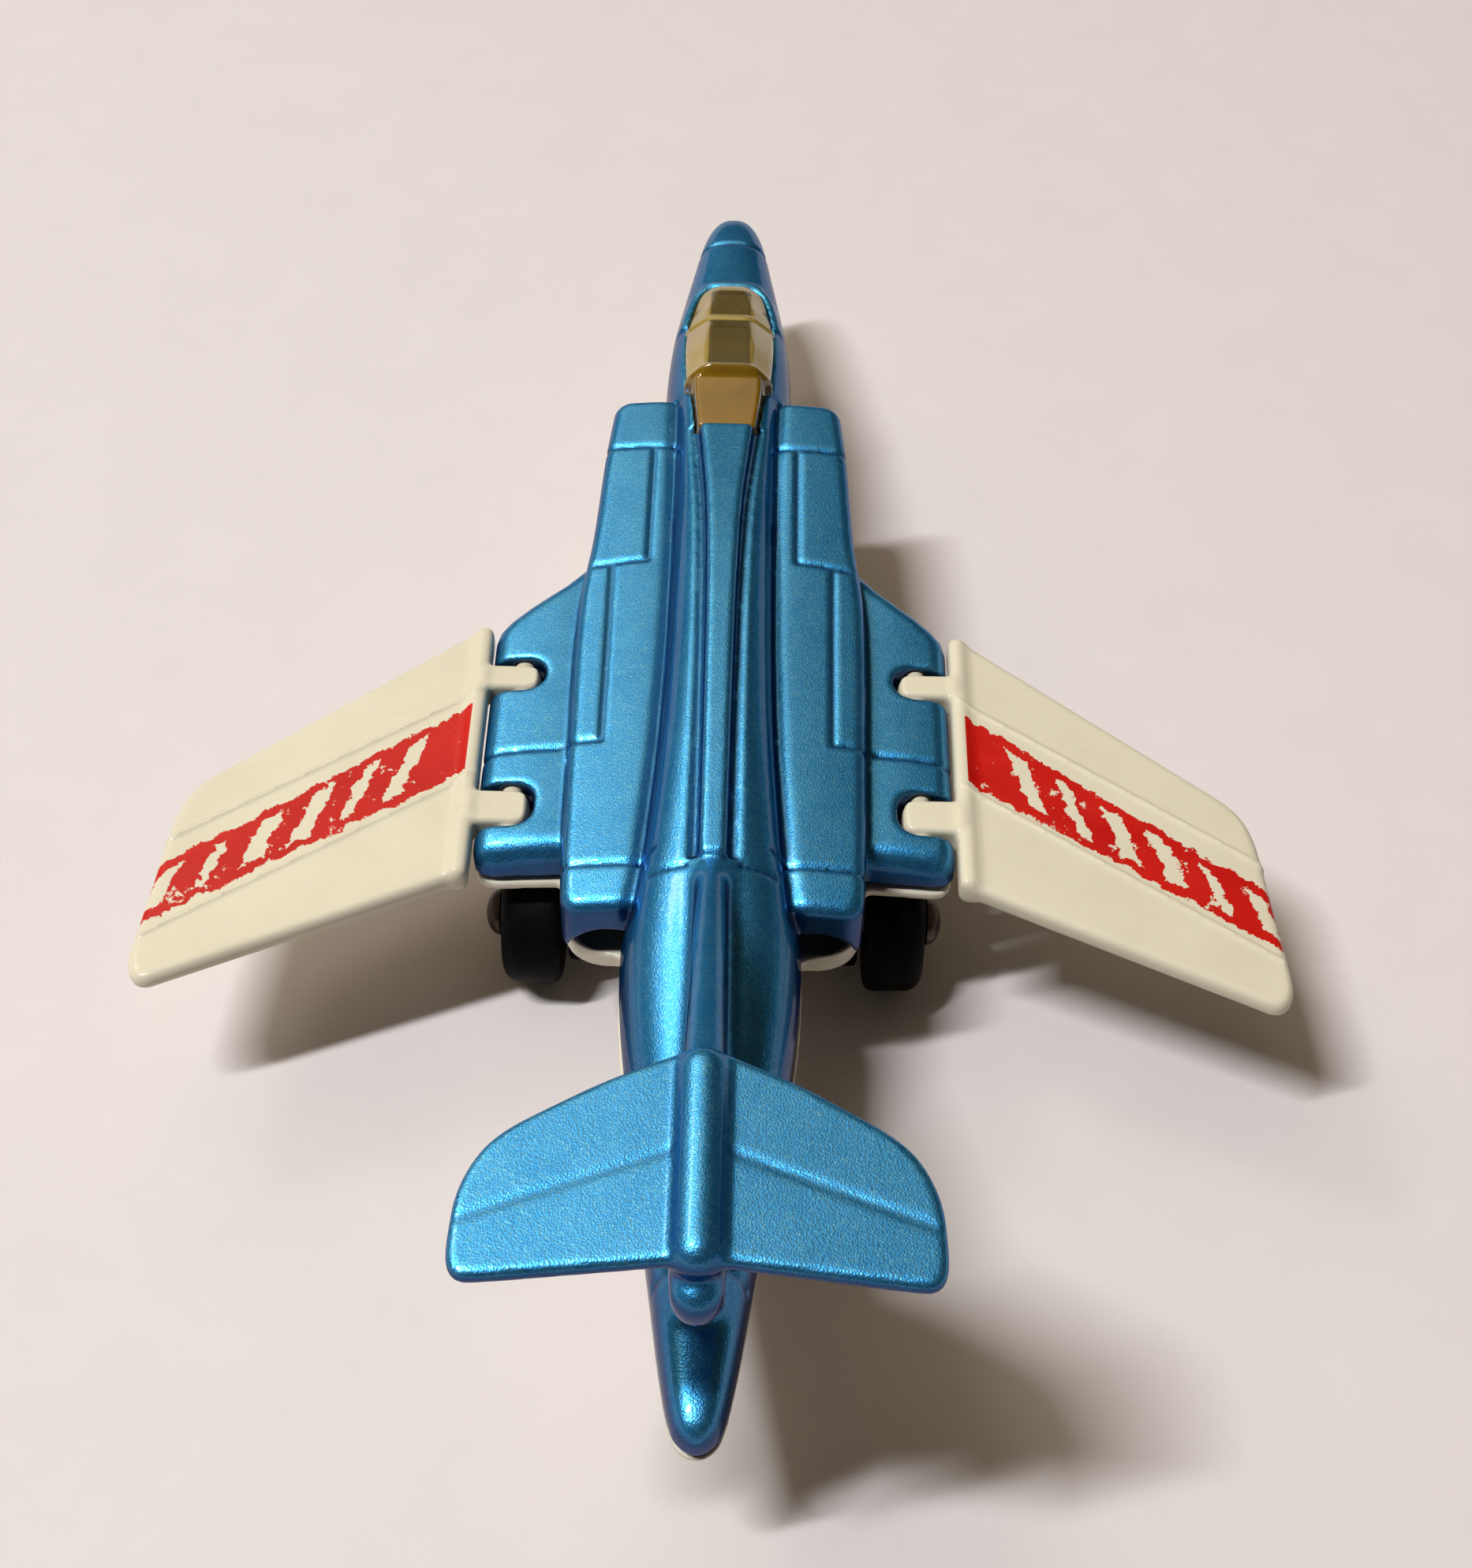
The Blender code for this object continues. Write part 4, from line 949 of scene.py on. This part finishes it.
def wing_plastic():
    """Ivory plastic with a red band printed across its top: five rubbed, slanted bars left clear in it."""
    nodes, ivory = plastic("ivory_wing", (0.65, 0.60, 0.455), (0.69, 0.64, 0.49), 0.34)
    nodes.set(Subsurface_Weight=0.08, Subsurface_Scale=0.0006, Coat_Weight=0.15, Coat_Roughness=0.12)
    nodes.set(Specular_IOR_Level=0.2)
    printed = nodes.math("MULTIPLY", wing_band(nodes), nodes.math("GREATER_THAN", nodes.facing_up(), 0.6))
    red = nodes.ramp(nodes.noise(300.0, 3.0), (0.3, (0.46, 0.006, 0.004)), (0.7, (0.55, 0.012, 0.007)))
    nodes.link(nodes.mix(printed, ivory, red), nodes.shader.inputs["Base Color"])
    return nodes.material


def wing_band(nodes):
    """1 where the wing's band is printed, 0 elsewhere: in metres, out from its root end and across it."""
    x, y, _ = nodes.axes()
    out = nodes.math("SUBTRACT", nodes.math("ABSOLUTE", x), BAND_ROOT_X)
    centre = nodes.math("MULTIPLY_ADD", out, BAND_SLOPE, BAND_ROOT_Y)
    across = nodes.math("SUBTRACT", y, centre)
    half = nodes.math("MULTIPLY_ADD", out, BAND_TAPER, BAND_HALF_WIDTH)
    wobble = nodes.math("MULTIPLY_ADD", nodes.noise(750.0, 6.0, 0.7), 0.0020, -0.0010)
    edge = nodes.math("SUBTRACT", half, nodes.math("ABSOLUTE", nodes.math("ADD", across, wobble)))
    outboard = nodes.math("GREATER_THAN", out, 0.0)
    inside = nodes.math("MULTIPLY", nodes.math("GREATER_THAN", edge, 0.0), outboard)
    slanted = nodes.math("MULTIPLY_ADD", across, 0.35, out)
    ragged = nodes.math("MULTIPLY_ADD", nodes.noise(1300.0, 4.0, 0.6), 0.0016, -0.0008)
    from_first = nodes.math("ADD", nodes.math("SUBTRACT", slanted, FIRST_BAR), ragged)
    cell = nodes.math("DIVIDE", from_first, BAR_SPACING)
    within = nodes.math("ABSOLUTE", nodes.math("SUBTRACT", nodes.math("FRACT", cell), 0.5))
    number = nodes.new("ShaderNodeTexWhiteNoise", noise_dimensions="1D")
    nodes.link(nodes.math("FLOOR", cell), number.inputs["W"])
    width = nodes.math("MULTIPLY_ADD", number.outputs["Value"], 0.12, 0.13)
    started = nodes.math("GREATER_THAN", cell, 0.0)
    bar = nodes.math("MULTIPLY", nodes.math("LESS_THAN", within, width), started)
    bar = nodes.math("MULTIPLY", bar, nodes.math("GREATER_THAN", edge, BAR_END_MARGIN))
    chips = nodes.math("GREATER_THAN", nodes.noise(620.0, 6.0, 0.75), 0.615)
    return nodes.math("MULTIPLY", inside, nodes.math("SUBTRACT", 1.0, nodes.math("MAXIMUM", bar, chips)))


def base_plastic():
    nodes, _ = plastic("cream_base", (0.60, 0.56, 0.45), (0.70, 0.66, 0.54), 0.42)
    nodes.set(Subsurface_Weight=0.05, Subsurface_Scale=0.0006)
    return nodes.material


def black_plastic():
    dark, light = (0.0008, 0.0008, 0.0008), (0.002, 0.002, 0.002)
    nodes, _ = plastic("black_moulding", dark, light, 0.6, 1800.0, 0.00005)
    nodes.set(Specular_IOR_Level=0.06)
    return nodes.material


def amber():
    """Clear yellow-brown plastic: clear in its flat windows, which carry painted shade of the dim cockpit
    below, pale on its sides, deep behind its rear rib.
    """
    nodes = moulded("amber_clear_plastic", 0.14, 500.0, 0.00006)
    x, y, _ = nodes.axes()
    beside = nodes.span(nodes.math("ABSOLUTE", x), 0.00125, 0.00145)
    forward = nodes.span(y, 0.0229, 0.0238)
    ahead = nodes.span(y, 0.0343, 0.0347)
    arch_y = CANOPY_ARCHES[0][0] * MM
    off_arch = nodes.span(nodes.math("ABSOLUTE", nodes.math("SUBTRACT", y, arch_y)), 0.0003, 0.0006)
    length = nodes.math("MULTIPLY", forward, nodes.math("SUBTRACT", 1.0, ahead))
    window = nodes.math("MULTIPLY", nodes.math("SUBTRACT", 1.0, beside), length)
    window = nodes.math("MULTIPLY", window, off_arch)
    pale = nodes.ramp(nodes.noise(260.0, 3.0), (0.3, (0.34, 0.24, 0.05)), (0.7, (0.43, 0.31, 0.075)))
    deep = nodes.ramp(nodes.noise(260.0, 3.0), (0.3, (0.15, 0.072, 0.001)), (0.7, (0.24, 0.125, 0.003)))
    colour = nodes.mix(forward, deep, pale)
    # The windows' dark film is painted shade of the cockpit seen through them, over the amber's own tint.
    nodes.link(nodes.mix(window, colour, (0.17, 0.12, 0.035)), nodes.shader.inputs["Base Color"])
    clear = nodes.math("MULTIPLY_ADD", forward, -0.14, 0.92)
    nodes.link(nodes.math("MULTIPLY_ADD", window, -0.28, clear), nodes.shader.inputs["Alpha"])
    nodes.set(IOR=1.5, Coat_Weight=0.6, Coat_Roughness=0.05, Specular_IOR_Level=0.7)
    return nodes.material


def steel_painted_floor_reflection():
    # Painted reflection: the steel is coloured dark brown for the shaded warm floor that it mirrors.
    dark, light = (0.03, 0.022, 0.017), (0.09, 0.07, 0.055)
    nodes, _ = plastic("axle_steel_painted_floor_reflection", dark, light, 0.38, 2600.0, 0.00004)
    nodes.set(Metallic=0.9)
    return nodes.material


def paint(obj, material):
    obj.data.materials.clear()
    obj.data.materials.append(material)


# ---------------------------------------------------------------- stage


def make_floor():
    """A sheet of pale paper, larger than the view, just under the wheels."""
    count = 120
    ticks = np.linspace(-FLOOR_REACH, FLOOR_REACH, count)
    x, y = np.meshgrid(ticks, ticks, indexing="ij")
    points = np.stack([x, y, np.full_like(x, FLOOR_Z)], axis=-1).reshape(-1, 3)
    i, j = np.meshgrid(np.arange(count - 1), np.arange(count - 1), indexing="ij")
    first = i * count + j
    faces = np.stack([first, first + count, first + count + 1, first + 1], axis=-1).reshape(-1, 4)
    floor = fast_mesh("paper", points, faces)
    nodes, _ = plastic("pale_paper", (0.675, 0.63, 0.625), (0.69, 0.645, 0.64), 0.75, 2400.0, 0.00006)
    paint(floor, nodes.material)


def make_camera():
    data = bpy.data.cameras.new("camera")
    data.sensor_width = SENSOR_LONG_SIDE
    data.lens = FOCAL_SHARE * SENSOR_LONG_SIDE
    data.clip_start = 0.005
    pitch, yaw, roll = (math.radians(angle) for angle in (CAMERA_DOWN, CAMERA_YAW, CAMERA_ROLL))
    forward = Vector((-math.sin(yaw) * math.cos(pitch), math.cos(yaw) * math.cos(pitch), -math.sin(pitch)))
    level = Vector((math.cos(yaw), math.sin(yaw), 0.0))
    down = forward.cross(level)
    right = level * math.cos(roll) + down * math.sin(roll)
    under = down * math.cos(roll) - level * math.sin(roll)
    camera = bpy.data.objects.new("camera", data)
    turn = Matrix((right, -under, -forward)).transposed().to_4x4()
    camera.matrix_world = Matrix.Translation(Vector(CAMERA_PLACE) * MM) @ turn
    bpy.context.scene.collection.objects.link(camera)
    bpy.context.scene.camera = camera


def area_light(name, direction, distance, size, energy, colour):
    """A rectangular lamp aimed at the origin."""
    data = bpy.data.lights.new(name, "AREA")
    data.shape = "RECTANGLE"
    data.size, data.size_y = size
    data.energy = energy
    data.color = colour
    lamp = bpy.data.objects.new(name, data)
    lamp.location = Vector(direction).normalized() * distance
    lamp.rotation_euler = (-lamp.location).to_track_quat("-Z", "Y").to_euler()
    bpy.context.scene.collection.objects.link(lamp)


def make_world():
    """A dim room under a pale ceiling that is brightest ahead and to the left, with a lamp in it."""
    world = bpy.data.worlds.new("studio")
    world.use_nodes = True
    tree = world.node_tree
    direction = tree.nodes.new("ShaderNodeTexCoord")
    glows = []
    for towards, edge, core, dark, bright in (CEILING, LAMP):
        lean = tree.nodes.new("ShaderNodeVectorMath")
        lean.operation = "DOT_PRODUCT"
        lean.inputs[1].default_value = Vector(towards).normalized()
        ramp = tree.nodes.new("ShaderNodeValToRGB")
        ramp.color_ramp.interpolation = "EASE"
        ramp.color_ramp.elements[0].position = edge
        ramp.color_ramp.elements[0].color = dark
        ramp.color_ramp.elements[1].position = core
        ramp.color_ramp.elements[1].color = bright
        tree.links.new(direction.outputs["Generated"], lean.inputs[0])
        tree.links.new(lean.outputs["Value"], ramp.inputs["Fac"])
        glows.append(ramp.outputs["Color"])
    both = tree.nodes.new("ShaderNodeMix")
    both.data_type = "RGBA"
    both.blend_type = "ADD"
    both.inputs[0].default_value = 1.0
    tree.links.new(glows[0], both.inputs[6])
    tree.links.new(glows[1], both.inputs[7])
    tree.links.new(both.outputs[2], tree.nodes["Background"].inputs["Color"])
    tree.nodes["Background"].inputs["Strength"].default_value = 1.0
    bpy.context.scene.world = world


def make_lights():
    area_light("key", *KEY)
    make_world()
    bpy.context.scene.view_settings.view_transform = "Standard"


# ---------------------------------------------------------------- build


def build():
    make_camera()
    make_lights()
    make_floor()
    blue, cream, black, steel = candy_paint(), base_plastic(), black_plastic(), steel_painted_floor_reflection()
    ivory = wing_plastic()
    paint(make_casting(), blue)
    paint(make_base(), cream)
    paint(make_canopy(), amber())
    for label, side in SIDES.items():
        paint(make_wing(label, side), ivory)
        paint(make_main_wheel(label, side), black)
    paint(make_axle(), steel)
    paint(make_nose_wheel(), black)
    paint(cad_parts["main_gear_frame"], black)
    for node in ("nose_axle", "front_rivet", "rear_rivet"):
        paint(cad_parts[node], steel)


build()
